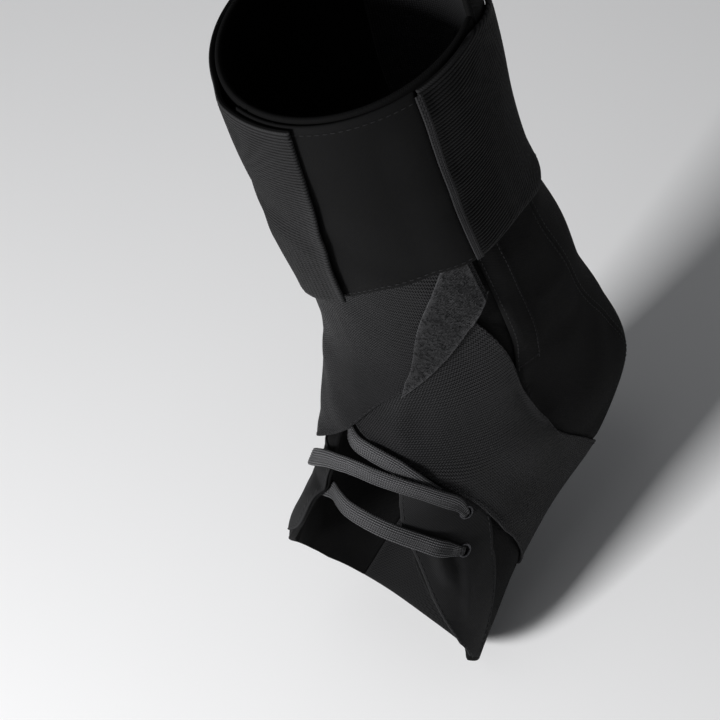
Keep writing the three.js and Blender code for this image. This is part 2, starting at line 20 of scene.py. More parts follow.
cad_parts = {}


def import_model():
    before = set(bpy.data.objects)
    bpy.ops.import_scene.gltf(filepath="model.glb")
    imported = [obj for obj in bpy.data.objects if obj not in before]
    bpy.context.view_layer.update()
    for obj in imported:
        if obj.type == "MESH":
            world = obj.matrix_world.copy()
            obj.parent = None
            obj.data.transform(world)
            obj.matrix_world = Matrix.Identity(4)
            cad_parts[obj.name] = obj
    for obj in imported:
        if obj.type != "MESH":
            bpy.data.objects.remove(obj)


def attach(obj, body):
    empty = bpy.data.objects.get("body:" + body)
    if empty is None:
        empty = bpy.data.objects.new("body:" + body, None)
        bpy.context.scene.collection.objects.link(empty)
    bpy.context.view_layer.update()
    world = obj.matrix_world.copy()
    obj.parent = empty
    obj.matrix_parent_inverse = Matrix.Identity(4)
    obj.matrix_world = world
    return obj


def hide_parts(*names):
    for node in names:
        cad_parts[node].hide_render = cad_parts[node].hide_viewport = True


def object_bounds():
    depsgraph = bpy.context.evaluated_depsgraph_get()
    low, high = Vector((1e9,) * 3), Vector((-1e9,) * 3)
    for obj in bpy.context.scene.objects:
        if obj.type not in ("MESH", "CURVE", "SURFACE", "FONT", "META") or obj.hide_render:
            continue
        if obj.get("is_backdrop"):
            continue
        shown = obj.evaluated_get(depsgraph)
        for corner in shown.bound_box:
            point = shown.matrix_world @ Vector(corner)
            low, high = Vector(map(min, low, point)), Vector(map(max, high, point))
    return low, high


LOG = logging.getLogger("ankle_brace")
MM = 0.001
WALL = 2.2
EYELET_BORE = 4.0
RIB_PITCH = 1.28
BRAID_PITCH = 0.74
Field = Callable[[np.ndarray, np.ndarray], np.ndarray]


# The hollow form of the brace


def smooth_rows(rows: np.ndarray, place: np.ndarray) -> np.ndarray:
    """Read a smooth curve through rows of numbers.

    Args:
        rows: One row of numbers for each whole place.
        place: Places to read, from 0 to the last row.

    Returns:
        The numbers at each place, in a last axis of their own.
    """
    last = len(rows) - 1
    p = np.clip(np.asarray(place, float), 0, last - 1e-9)
    i = np.floor(p).astype(int)
    t = (p - i)[..., None]
    here, ahead = rows[i], rows[i + 1]
    before = np.where((i > 0)[..., None], rows[np.maximum(i - 1, 0)], 2 * here - ahead)
    after = np.where((i + 2 <= last)[..., None], rows[np.minimum(i + 2, last)], 2 * ahead - here)
    bend = (2 * before - 5 * here + 4 * ahead - after) * t * t
    twist = (3 * here - before - 3 * ahead + after) * t * t * t
    return (2 * here + (ahead - before) * t + bend + twist) / 2


def unit(v: np.ndarray) -> np.ndarray:
    """Scale vectors to length one."""
    return v / np.maximum(np.linalg.norm(v, axis=-1, keepdims=True), 1e-12)


@dataclass(frozen=True)
class WornForm:
    """The brace's own hollow in its worn shape, addressed by station and angle.

    A station counts the sections from the top down to the open mouth. The angle is 0 in front, 90 on
    the +X side and 180 at the back or in the middle of the sole.

    Attributes:
        boot_top: Height of the boot's top.
        cuff_top: Height of the cuff's top.
        shaft_depth: Depth of the shaft, front to back.
        shaft_width: Width of the shaft.
        boot_length: Length of the boot's lower part.
        boot_drop: Depth of the boot's lower part below the origin.
        boot_width: Width of the boot's lower part.
        top: The first section's front, back and half width, as shares of the shaft's depth and width.
        shaft: Height as a share of cuff_top, then front, back and half width, for each section.
        lower: Front's place ahead and up, back's place ahead and up, half width and squareness.
    """

    boot_top: float = 188.0
    cuff_top: float = 165.0
    shaft_depth: float = 76.0
    shaft_width: float = 74.0
    boot_length: float = 137.5
    boot_drop: float = 93.0
    boot_width: float = 70.0
    top: tuple[float, ...] = (0.507, 0.54, 0.486)
    shaft: tuple[tuple[float, ...], ...] = (
        (0.845, 0.53, 0.487, 0.497),
        (0.665, 0.512, 0.438, 0.5),
        (0.479, 0.497, 0.452, 0.517),
        (0.293, 0.52, 0.52, 0.51),
    )
    lower: tuple[tuple[float, ...], ...] = (
        (0.333, 0.332, -0.3, 0.228, 0.52, 2.1),
        (0.38, 0.212, -0.345, -0.075, 0.5, 2.1),
        (0.425, 0.115, -0.352, -0.371, 0.496, 2.2),
        (0.464, 0.028, -0.198, -0.616, 0.456, 2.2),
        (0.5, -0.05, 0.047, -0.713, 0.45, 2.4),
        (0.551, -0.142, 0.249, -0.832, 0.477, 2.6),
        (0.646, -0.387, 0.453, -1.001, 0.513, 2.9),
    )

    @property
    def rows(self) -> np.ndarray:
        """The sections in millimetres.

        Returns:
            Rows of front y, front z, back y, back z, half width and squareness.
        """
        depth, width, length, drop = self.shaft_depth, self.shaft_width, self.boot_length, self.boot_drop
        front, back, half = self.top
        out = [[-front * depth, self.boot_top, back * depth, self.boot_top, half * width, 2]]
        for up, front, back, half in self.shaft:
            z = up * self.cuff_top
            out.append([-front * depth, z, back * depth, z, half * width, 2])
        for ahead, up, back_ahead, back_up, half, square in self.lower:
            wide = half * self.boot_width
            out.append([-ahead * length, up * drop, -back_ahead * length, back_up * drop, wide, square])
        return np.array(out, float)

    @property
    def last(self) -> int:
        """The last station."""
        return len(self.rows) - 1

    def surface(self, station: Any, angle: Any) -> np.ndarray:
        """Points of the hollow's surface.

        Args:
            station: Stations.
            angle: Angles in degrees.

        Returns:
            Points in millimetres.
        """
        station, angle = np.broadcast_arrays(np.asarray(station, float), np.asarray(angle, float))
        row = smooth_rows(self.rows, station)
        c, s = np.cos(np.radians(angle)), np.sin(np.radians(angle))
        power = np.where(c >= 0, 1.0, 2.0 / row[..., 5])
        depth = np.sign(c) * np.abs(c) ** power
        side = np.sign(s) * np.abs(s) ** power
        y = (row[..., 0] + row[..., 2]) / 2 + (row[..., 0] - row[..., 2]) / 2 * depth
        z = (row[..., 1] + row[..., 3]) / 2 + (row[..., 1] - row[..., 3]) / 2 * depth
        return np.stack([row[..., 4] * side, y, z], axis=-1)

    def normal(self, station: Any, angle: Any) -> np.ndarray:
        """Outward directions of the surface.

        Args:
            station: Stations.
            angle: Angles in degrees.

        Returns:
            Directions of length one.
        """
        station, angle = np.broadcast_arrays(np.asarray(station, float), np.asarray(angle, float))
        step = 0.02
        low, high = np.maximum(station - step, 0), np.minimum(station + step, self.last)
        down = self.surface(high, angle) - self.surface(low, angle)
        around = self.surface(station, angle + 1) - self.surface(station, angle - 1)
        return unit(np.cross(down, around))

    def over(self, station: Any, angle: Any, lift: Any) -> np.ndarray:
        """Points at a lift above the surface, in millimetres."""
        return self.surface(station, angle) + self.normal(station, angle) * np.asarray(lift)[..., None]

    def station_at(self, height: float, angle: float = 0.0, deepest: float = 5.0) -> float:
        """Find where the surface has a height, by halving the stretch that holds it.

        Args:
            height: Height in millimetres.
            angle: Angle in degrees.
            deepest: Last station that is looked at.

        Returns:
            The station.
        """
        low, high = 0.0, deepest
        halvings = 40
        for _ in range(halvings):
            middle = (low + high) / 2
            low, high = (middle, high) if self.surface(middle, angle)[2] > height else (low, middle)
        return (low + high) / 2

    @property
    def per_degree(self) -> float:
        """Millimetres round the shaft for one degree."""
        return math.pi * (self.shaft_depth + self.shaft_width) / 2 / 360

    def chart(self, station: Any, angle: Any) -> np.ndarray:
        """Lay places on the surface out flat.

        Args:
            station: Stations.
            angle: Angles in degrees.

        Returns:
            Points of a flat chart: millimetres round the shaft, and millimetres down its side.
        """
        stations = np.arange(self.last + 1)
        side = self.surface(stations, 90.0)
        down = np.concatenate([[0], np.cumsum(np.linalg.norm(np.diff(side, axis=0), axis=1))])
        station, angle = np.broadcast_arrays(np.asarray(station, float), np.asarray(angle, float))
        return np.stack([angle * self.per_degree, np.interp(station, stations, down)], axis=-1)


FORM = WornForm()


def segments_from(points: np.ndarray, line: np.ndarray) -> tuple[np.ndarray, np.ndarray]:
    """Distance from chart points to an open line, and the share of the line that is nearest.

    Args:
        points: Chart points.
        line: The line's corners on the chart.

    Returns:
        Distances, and shares from 0 at the line's start to 1 at its end.
    """
    best, share = np.full(points.shape[:-1], 1e9), np.zeros(points.shape[:-1])
    steps = np.linalg.norm(np.diff(line, axis=0), axis=1)
    ends = np.concatenate([[0], np.cumsum(steps)]) / max(steps.sum(), 1e-9)
    for k in range(len(line) - 1):
        way = line[k + 1] - line[k]
        t = np.clip(((points - line[k]) @ way) / max(way @ way, 1e-9), 0, 1)
        gap = np.linalg.norm(points - line[k] - t[..., None] * way, axis=-1)
        nearer = gap < best
        best = np.where(nearer, gap, best)
        share = np.where(nearer, ends[k] + t * (ends[k + 1] - ends[k]), share)
    return best, share


def inside_of(outline: np.ndarray, points: np.ndarray) -> np.ndarray:
    """Measure how far chart points are inside a closed outline.

    Args:
        outline: Corners of the outline on the chart.
        points: Chart points.

    Returns:
        Distances to the outline, negative outside it.
    """
    closed = np.vstack([outline, outline[:1]])
    gap, _ = segments_from(points, closed)
    x, y = points[..., 0], points[..., 1]
    inside = np.zeros(x.shape, bool)
    for (x0, y0), (x1, y1) in zip(closed[:-1], closed[1:]):
        crosses = (y0 > y) != (y1 > y)
        if y1 != y0:
            inside ^= crosses & (x < x0 + (x1 - x0) * (y - y0) / (y1 - y0))
    return np.where(inside, gap, -gap)


@dataclass
class Layering:
    """How layers of cloth lie on each other: what is laid on lifts what comes after it.

    Attributes:
        wall: Thickness of the boot's cloth, under all the tiers.
        gap: Clearance between two layers.
        margin: How far past an outline a piece still has its whole lift.
        ramp: Distance over which the lift fades after the margin.
        tiers: Outline on the chart and thickness of each piece, tier by tier.
        creases: Folds that what comes later shares.
    """

    wall: float = WALL
    gap: float = 0.2
    margin: float = 3.0
    ramp: float = 12.0
    tiers: list[list[tuple[np.ndarray, float]]] = field(default_factory=list)
    creases: list[Field] = field(default_factory=list)

    def crease(self, *folds: Any) -> Field:
        """The folds of all that lies under a piece and its own, which what comes later shares."""
        self.creases.extend(folds)
        return sum_of(tuple(self.creases))

    def lay(self, *pieces: tuple[np.ndarray, float]) -> None:
        """Lay one tier of pieces.

        Args:
            *pieces: Edge rows and thickness of each.
        """
        tier = []
        for edges, thick in pieces:
            ring = np.vstack([edges[:, :2], edges[::-1, 2:]])
            tier.append((FORM.chart(ring[:, 0], ring[:, 1]), thick))
        self.tiers.append(tier)

    def lift(self) -> Field:
        """Work out the lift for a piece that comes next.

        Returns:
            The lift over all the tiers laid so far.
        """
        tiers = [list(t) for t in self.tiers]

        def read(station: np.ndarray, angle: np.ndarray) -> np.ndarray:
            """Read the lift.

            Args:
                station: Stations.
                angle: Angles in degrees.

            Returns:
                Lift in millimetres.
            """
            points = FORM.chart(station, angle)
            total = np.full(points.shape[:-1], self.wall + self.gap)
            for tier in tiers:
                raised = np.zeros(points.shape[:-1])
                for outline, thick in tier:
                    t = np.clip(1 + (inside_of(outline, points) + self.margin) / self.ramp, 0, 1)
                    raised = np.maximum(raised, (thick + self.gap) * t * t * (3 - 2 * t))
                total = total + raised
            return total

        return read


@dataclass(frozen=True)
class Fold:
    """A crease, ridge or dent that follows a line on the cloth.

    Attributes:
        line: Stations and angles along it.
        height: Rise in millimetres, negative for a dent.
        width: Half width in millimetres.
    """

    line: tuple[tuple[float, float], ...]
    height: float
    width: float

    def read(self, station: np.ndarray, angle: np.ndarray) -> np.ndarray:
        """Read the fold's rise, which tapers off to a small share at the line's ends.

        Args:
            station: Stations.
            angle: Angles in degrees.

        Returns:
            Rise in millimetres.
        """
        blunt, end_share = 0.6, 0.05
        corners = np.array(self.line, float)
        gap, share = segments_from(FORM.chart(station, angle), FORM.chart(corners[:, 0], corners[:, 1]))
        taper = np.sin(np.pi * np.clip(share, 0, 1)) ** blunt
        return self.height * np.exp(-((gap / self.width) ** 2)) * np.maximum(taper, end_share)


@dataclass(frozen=True)
class Slack:
    """Low irregular waves in worn cloth.

    Attributes:
        height: Largest rise in millimetres.
        length: Usual distance between waves in millimetres.
        seed: Seed of its directions.
        waves: Number of waves that are added up.
        crowding: What the sum of the waves is divided by, so that it seldom passes the height.
    """

    height: float
    length: float
    seed: int
    waves: int = 7
    crowding: float = 4.5

    def read(self, station: np.ndarray, angle: np.ndarray) -> np.ndarray:
        """Read the waves' rise.

        Args:
            station: Stations.
            angle: Angles in degrees.

        Returns:
            Rise in millimetres.
        """
        points = FORM.chart(station, angle)
        rng = np.random.default_rng(self.seed)
        total = np.zeros(points.shape[:-1])
        for _ in range(self.waves):
            turn, stretch, phase = rng.uniform(0, math.pi), rng.uniform(0.6, 1.8), rng.uniform(0, 6.28)
            way = np.array([math.cos(turn), math.sin(turn)]) * 2 * math.pi / (self.length * stretch)
            total += np.sin(points @ way + phase)
        return self.height * total / self.crowding


def sum_of(parts: Iterable[Any]) -> Field:
    """Add up folds, slack and other fields.

    Args:
        parts: The folds, slack and fields.

    Returns:
        One field.
    """
    parts = tuple(parts)

    def read(station: np.ndarray, angle: np.ndarray) -> np.ndarray:
        """Read the sum.

        Args:
            station: Stations.
            angle: Angles in degrees.

        Returns:
            Rise in millimetres.
        """
        rise = np.zeros(np.shape(station))
        for part in parts:
            rise = rise + (part.read if hasattr(part, "read") else part)(station, angle)
        return rise

    return read


# Finishes


class Weave(Enum):
    """Ways in which the cloths of the brace are made."""

    TWILL = "fine diagonal twill"
    BASKET = "coarse nylon weave"
    RIBBED = "elastic yarns along the ribs"
    BRUSHED = "brushed smooth face"
    PILE = "loop pile"
    BRAID = "flat braid"
    TAPE = "narrow woven tape"
    THREAD = "twisted thread"


class Graph:
    """Short ways to add nodes to the tree of a material or of a modifier."""

    def __init__(self, tree: bpy.types.NodeTree) -> None:
        """Keep the tree that the nodes go into."""
        self.tree = tree

    def node(self, kind: str, inputs: dict[Any, Any] | None = None, **facts: Any) -> bpy.types.Node:
        """Add a node.

        Args:
            kind: The node's type.
            inputs: Values or sockets for its inputs, by name or number.
            **facts: Settings of the node.

        Returns:
            The new node.
        """
        made = self.tree.nodes.new(kind)
        for key, value in facts.items():
            setattr(made, key, value)
        for key, value in (inputs or {}).items():
            if isinstance(value, bpy.types.NodeSocket):
                self.tree.links.new(value, made.inputs[key])
            else:
                made.inputs[key].default_value = value
        return made

    def math(self, operation: str, *values: Any, clamp: bool = False) -> bpy.types.NodeSocket:
        """The result of a Math node on numbers or sockets."""
        inputs = dict(enumerate(values))
        return self.node("ShaderNodeMath", inputs, operation=operation, use_clamp=clamp).outputs[0]

    def noise(self, vector: Any, scale: float, detail: float = 3.0, rough: float = 0.5) -> Any:
        """The factor of a Noise texture."""
        inputs = {"Vector": vector, "Scale": scale, "Detail": detail, "Roughness": rough}
        return self.node("ShaderNodeTexNoise", inputs).outputs[0]

    def ramp(self, factor: Any, stops: Sequence[tuple[float, tuple[float, ...]]]) -> Any:
        """Add a colour ramp.

        Args:
            factor: Socket of the factor.
            stops: Places from 0 to 1, each with its colour.

        Returns:
            Socket of the colour.
        """
        made = self.node("ShaderNodeValToRGB", {0: factor})
        band = made.color_ramp
        while len(band.elements) < len(stops):
            band.elements.new(0.5)
        for element, (place, colour) in zip(band.elements, stops):
            element.position = place
            element.color = (*colour, 1.0)
        return made.outputs[0]

    def mix(self, factor: Any, a: Any, b: Any) -> Any:
        """Mix two colours.

        Args:
            factor: Socket of the share of b.
            a: First colour, or its socket.
            b: Second colour, or its socket.

        Returns:
            Socket of the mixed colour.
        """
        made = self.node("ShaderNodeMix", {0: factor}, data_type="RGBA")
        first_colour, second_colour, result = 6, 7, 2
        for key, value in ((first_colour, a), (second_colour, b)):
            if isinstance(value, bpy.types.NodeSocket):
                self.tree.links.new(value, made.inputs[key])
            else:
                made.inputs[key].default_value = (*value, 1.0)
        return made.outputs[result]


@dataclass(frozen=True)
class Finish:
    """A finish with a material of its own.

    Attributes:
        name: The material's name.
    """

    name: str

    def dress(self, g: Graph, shader: bpy.types.Node) -> None:
        """Set the shader and add the nodes that feed it."""
        raise NotImplementedError

    def material(self) -> bpy.types.Material:
        """Build the material, once.

        Returns:
            The material.
        """
        made = bpy.data.materials.get(self.name)
        if made is None:
            made = bpy.data.materials.new(self.name)
            made.use_nodes = True
            self.dress(Graph(made.node_tree), made.node_tree.nodes["Principled BSDF"])
        return made


@dataclass(frozen=True)
class ClothFinish(Finish):
    """A black cloth with its weave, lint and wear, with painted highlight on its yarns and fold crests and
    painted shade between its yarns.

    Attributes:
        weave: How the cloth is made.
        colour: Colour of the yarn.
        raised: Colour of rubbed or dusty high places, and of the painted highlight on fold crests and yarns.
        pitch: Distance between yarns in millimetres.
        relief: Height of the yarns in millimetres.
        rough: Usual roughness.
        sheen: Weight of the soft sheen.
        lint: Strength of the fine light specks.
        painted_yarn_shade: Strength of the painted highlight on the yarns and of the painted shade in the
            gaps between them.
        wander: How far the yarns wander from straight, in millimetres.
        broad: Scale of the large dusty areas.
        fine: Scale of the fine unevenness.
        fibre: Scale of single fibres.
    """

    weave: Weave
    colour: tuple[float, float, float]
    raised: tuple[float, float, float]
    pitch: float
    relief: float
    rough: float = 0.7
    sheen: float = 0.0
    lint: float = 0.25
    painted_yarn_shade: float = 0.35
    wander: float = 0.4
    broad: float = 26.0
    fine: float = 900.0
    fibre: float = 2600.0

    def _yarns(self, g: Graph, x: Any, y: Any, z: Any) -> Any:
        """Draw the yarns of the weave.

        Args:
            g: The material's nodes.
            x: Socket of the cloth's own x in millimetres.
            y: Socket of the cloth's own y in millimetres.
            z: Socket of the height in millimetres.

        Returns:
            Socket of the yarns' height, from 0 to 1.
        """
        p = self.pitch

        def wave(value: Any, pitch: float, power: float = 1.0) -> Any:
            """Rounded ridges at a pitch."""
            ridge = g.math("ABSOLUTE", g.math("SINE", g.math("MULTIPLY", value, math.pi / pitch)))
            return ridge if power == 1.0 else g.math("POWER", ridge, power)

        if self.weave in (Weave.TWILL, Weave.BRUSHED):
            ridge = wave(g.math("ADD", x, y), p)
            cross = wave(g.math("SUBTRACT", x, y), p * 2.2)
            return g.math("MULTIPLY_ADD", cross, 0.25, g.math("MULTIPLY", ridge, 0.75))
        if self.weave in (Weave.BASKET, Weave.TAPE):
            cell_x = g.math("FLOOR", g.math("DIVIDE", x, p))
            cell_y = g.math("FLOOR", g.math("DIVIDE", y, p))
            odd = g.math("FLOORED_MODULO", g.math("ADD", cell_x, cell_y), 2.0)
            warp = g.math("MULTIPLY", wave(x, p, 0.7), odd)
            weft = g.math("MULTIPLY", wave(y, p, 0.7), g.math("SUBTRACT", 1.0, odd))
            return g.math("ADD", warp, weft)
        if self.weave is Weave.RIBBED:
            slant = wave(g.math("MULTIPLY_ADD", z, 0.8, y), p, 0.6)
            return g.math("MULTIPLY", wave(z, RIB_PITCH, 1.0), g.math("MULTIPLY_ADD", slant, 0.55, 0.45))
        if self.weave is Weave.BRAID:
            slant = wave(g.math("MULTIPLY_ADD", g.math("PINGPONG", x, BRAID_PITCH / 2), 1.6, y), p)
            return g.math("MULTIPLY", slant, wave(x, BRAID_PITCH, 0.6))
        if self.weave is Weave.THREAD:
            return wave(g.math("ADD", x, y), p)
        return g.math("MULTIPLY", wave(x, p), wave(y, p))

    def _tone(self, g: Graph, place: Any, yarns: Any, fine: Any, fibres: Any) -> Any:
        """Colour the cloth: crests lighter with dust and painted highlight, worn edges and dust lighter,
        painted highlight on the yarns, painted shade in the gaps between them, and light specks.

        Args:
            g: The material's nodes.
            place: Socket of the place on the object.
            yarns: Socket of the yarns' height.
            fine: Socket of the fine unevenness.
            fibres: Socket of the single fibres.

        Returns:
            Socket of the colour.
        """
        crest_dust_and_highlight_share, edge_share, dust_share, gap_shade_share = 0.45, 0.4, 0.35, 0.3
        dust_from, gap_below, fibre_above, fine_above = 0.35, 0.6, 0.74, 0.53
        crest = g.node("ShaderNodeAttribute", attribute_name="crest").outputs["Fac"]
        wear = g.node("ShaderNodeAttribute", attribute_name="wear").outputs["Fac"]
        broad = g.noise(place, self.broad, 4.0, 0.6)
        dusty = g.math("MULTIPLY", g.math("SUBTRACT", broad, dust_from), 0.9, clamp=True)
        # Lighter share: painted highlight with rubbed dust on fold crests, wear at edges, dust, and painted
        # highlight on the yarns.
        wear_dust_and_highlight = g.math("MULTIPLY_ADD", crest, crest_dust_and_highlight_share, g.math("MULTIPLY", wear, edge_share))
        wear_dust_and_highlight = g.math("ADD", wear_dust_and_highlight, g.math("MULTIPLY", dusty, dust_share))
        wear_dust_and_highlight = g.math("ADD", wear_dust_and_highlight, g.math("MULTIPLY", yarns, self.painted_yarn_shade), clamp=True)
        # Painted shade: the gaps between yarns and ribs are darkened towards a share of the yarn's colour.
        dark = tuple(c * gap_shade_share for c in self.colour)
        low = g.math("SUBTRACT", gap_below, yarns)
        low = g.math("MULTIPLY", low, 1.2 + self.painted_yarn_shade, clamp=True)
        cloth = g.mix(low, g.mix(wear_dust_and_highlight, self.colour, self.raised), dark)
        speck = g.math("MULTIPLY", g.math("GREATER_THAN", fibres, fibre_above), self.lint)
        speck = g.math("MULTIPLY", speck, g.math("GREATER_THAN", fine, fine_above))
        light = tuple(min(1.0, c * 5 + 0.02) for c in self.raised)
        return g.mix(speck, cloth, light)

    def dress(self, g: Graph, shader: bpy.types.Node) -> None:
        """Set the shader and add the nodes that feed it.

        Args:
            g: The material's nodes.
            shader: Its shader.
        """
        cloth = g.node("ShaderNodeUVMap", uv_map="cloth").outputs[0]
        parts = g.node("ShaderNodeSeparateXYZ", {0: cloth})
        place = g.node("ShaderNodeTexCoord").outputs["Object"]
        height = g.math("DIVIDE", g.node("ShaderNodeSeparateXYZ", {0: place}).outputs[2], MM)
        wobble = g.math("MULTIPLY_ADD", g.noise(place, 160.0, 2.0), self.wander, -self.wander / 2)
        x = g.math("ADD", parts.outputs[0], wobble)
        y = g.math("ADD", parts.outputs[1], wobble)
        yarns = self._yarns(g, x, y, height)
        fine = g.noise(place, self.fine, 3.0, 0.7)
        fibres = g.noise(place, self.fibre, 2.0, 0.8)
        links = g.tree.links
        links.new(self._tone(g, place, yarns, fine, fibres), shader.inputs["Base Color"])
        uneven, drop, yarn_gloss = 0.16, 0.1, 0.06
        rough = g.math("MULTIPLY_ADD", fine, uneven, self.rough - drop)
        rough = g.math("SUBTRACT", rough, g.math("MULTIPLY", yarns, yarn_gloss))
        links.new(rough, shader.inputs["Roughness"])
        shader.inputs["Sheen Weight"].default_value = self.sheen
        shader.inputs["Sheen Roughness"].default_value = 0.45
        shader.inputs["Sheen Tint"].default_value = (0.55, 0.56, 0.6, 1.0)
        shader.inputs["Specular IOR Level"].default_value = 0.08
        yarn_share, fibre_share, fine_share = 0.8, 0.35, 0.3
        fuzz = g.math("MULTIPLY_ADD", fibres, fibre_share, g.math("MULTIPLY", fine, fine_share))
        rise = g.math("ADD", g.math("MULTIPLY", yarns, yarn_share), fuzz)
        relief = {"Strength": 1.0, "Distance": self.relief * MM, "Height": rise}
        links.new(g.node("ShaderNodeBump", relief).outputs[0], shader.inputs["Normal"])


# The boot's twill, painted darker than the facings' copy below to stand in for the shade on the near side.
TWILL = ClothFinish(
    "black_twill",
    Weave.TWILL,
    colour=(0.0014, 0.0014, 0.0015),
    raised=(0.004, 0.004, 0.0042),
    pitch=0.62,
    relief=0.16,
    rough=0.85,
    lint=0.06,
)
# A lighter copy of the boot's twill for the lace facings: painted bounce light from the floor on the flaps.
BOUNCE_LIT_TWILL = ClothFinish(
    "black_twill_painted_bounce_light",
    Weave.TWILL,
    colour=(0.006, 0.006, 0.0063),
    raised=(0.018, 0.018, 0.0188),
    pitch=0.62,
    relief=0.16,
    rough=0.75,
    lint=0.15,
)
SOLE_TWILL = ClothFinish(
    "black_sole_twill",
    Weave.BASKET,
    colour=(0.005, 0.005, 0.0053),
    raised=(0.014, 0.014, 0.015),
    pitch=0.8,
    relief=0.16,
    rough=0.76,
)
WEBBING = ClothFinish(
    "black_webbing",
    Weave.BASKET,
    colour=(0.0016, 0.0016, 0.0017),
    raised=(0.017, 0.017, 0.018),
    pitch=0.8,
    relief=0.5,
    rough=0.62,
    lint=0.15,
    painted_yarn_shade=0.95,
)
ELASTIC = ClothFinish(
    "black_ribbed_elastic",
    Weave.RIBBED,
    colour=(0.002, 0.002, 0.0021),
    raised=(0.018, 0.018, 0.0188),
    pitch=0.8,
    relief=0.2,
    rough=0.68,
    lint=0.12,
    painted_yarn_shade=0.75,
)
SMOOTH = ClothFinish(
    "black_smooth_face",
    Weave.BRUSHED,
    colour=(0.0024, 0.0024, 0.0025),
    raised=(0.005, 0.005, 0.0053),
    pitch=0.45,
    relief=0.06,
    rough=0.88,
    lint=0.2,
)
PILE = ClothFinish(
    "black_loop_pile",
    Weave.PILE,
    colour=(0.015, 0.015, 0.0157),
    raised=(0.09, 0.09, 0.094),
    pitch=0.6,
    relief=0.15,
    rough=0.6,
    sheen=0.03,
    lint=0.4,
)
TAPE = ClothFinish(
    "black_seam_tape",
    Weave.TAPE,
    colour=(0.007, 0.007, 0.0074),
    raised=(0.03, 0.03, 0.0315),
    pitch=0.6,
    relief=0.2,
    rough=0.6,
)
LINING = ClothFinish(
    "charcoal_lining",
    Weave.PILE,
    colour=(0.012, 0.012, 0.0127),
    raised=(0.036, 0.036, 0.038),
    pitch=0.9,
    relief=0.2,
    rough=0.85,
    sheen=0.05,
    lint=0.35,
)
BRAID = ClothFinish(
    "black_braid",
    Weave.BRAID,
    colour=(0.004, 0.004, 0.0042),
    raised=(0.12, 0.12, 0.125),
    pitch=0.8,
    relief=0.3,
    rough=0.55,
    lint=0.2,
    painted_yarn_shade=0.45,
)
THREAD = ClothFinish(
    "black_thread",
    Weave.THREAD,
    colour=(0.012, 0.012, 0.0126),
    raised=(0.05, 0.05, 0.0525),
    pitch=0.25,
    relief=0.05,
    rough=0.6,
    lint=0.0,
)


@dataclass(frozen=True)
class GlossFinish(Finish):
    """Smooth dark lacquered metal with fine scuffs.

    Attributes:
        colour: Colour of the lacquer.
        scuff: Scale of the scuffs.
        brighter: How many times lighter a scuff is than the lacquer.
        metallic: Share of bare metal.
    """

    name: str = "black_lacquer"
    colour: tuple[float, float, float] = (0.03, 0.03, 0.033)
    scuff: float = 1800.0
    brighter: float = 3.0
    metallic: float = 0.8

    def dress(self, g: Graph, shader: bpy.types.Node) -> None:
        """Set the shader and add the nodes that feed it.

        Args:
            g: The material's nodes.
            shader: Its shader.
        """
        place = g.node("ShaderNodeTexCoord").outputs["Object"]
        scuffs = g.noise(place, self.scuff, 4.0, 0.7)
        worn = tuple(c * self.brighter for c in self.colour)
        tone = g.ramp(scuffs, ((0.45, self.colour), (0.75, worn)))
        g.tree.links.new(tone, shader.inputs["Base Color"])
        g.tree.links.new(g.math("MULTIPLY_ADD", scuffs, 0.25, 0.15), shader.inputs["Roughness"])
        shader.inputs["Metallic"].default_value = self.metallic


@dataclass(frozen=True)
class PaperFinish(Finish):
    """Matt pale paper, slightly uneven.

    Attributes:
        dim: Its darker tone.
        pale: Its lighter tone.
    """

    name: str = "pale_floor"
    dim: tuple[float, float, float] = (0.84, 0.84, 0.845)
    pale: tuple[float, float, float] = (0.88, 0.88, 0.885)

    def dress(self, g: Graph, shader: bpy.types.Node) -> None:
        """Set the shader and add the nodes that feed it.

        Args:
            g: The material's nodes.
            shader: Its shader.
        """
        place = g.node("ShaderNodeTexCoord").outputs["Object"]
        tone = g.ramp(g.noise(place, 3.0, 3.0), ((0.2, self.dim), (0.8, self.pale)))
        g.tree.links.new(tone, shader.inputs["Base Color"])
        shader.inputs["Roughness"].default_value = 0.9


LACQUER = GlossFinish()
PAPER = PaperFinish()


# Meshes


def mesh_object(
    name: str,
    points: np.ndarray,
    faces: Sequence[Sequence[int]],
    finish: Finish,
    uv: np.ndarray | None = None,
    facts: dict[str, np.ndarray] | None = None,
) -> bpy.types.Object:
    """Make an object from points in millimetres.

    Args:
        name: The object's name.
        points: Its points.
        faces: Corners of its faces.
        finish: Its finish.
        uv: The cloth's own x and y for each point, in millimetres.
        facts: Named numbers for each point.

    Returns:
        The object, linked to the scene.
    """
    mesh = bpy.data.meshes.new(name)
    corners = faces if isinstance(faces, list) else faces.tolist()
    mesh.from_pydata((np.asarray(points) * MM).tolist(), [], corners)
    mesh.update()
    mesh.shade_smooth()
    layer = mesh.uv_layers.new(name="cloth")
    if uv is not None:
        corner = np.empty(len(mesh.loops), np.int32)
        mesh.loops.foreach_get("vertex_index", corner)
        layer.data.foreach_set("uv", np.asarray(uv, np.float32)[corner].ravel())
    for key, values in (facts or {}).items():
        attribute = mesh.attributes.new(key, "FLOAT", "POINT")
        attribute.data.foreach_set("value", np.asarray(values, np.float32).ravel())
    mesh.materials.append(finish.material())
    made = bpy.data.objects.new(name, mesh)
    bpy.context.scene.collection.objects.link(made)
    return made


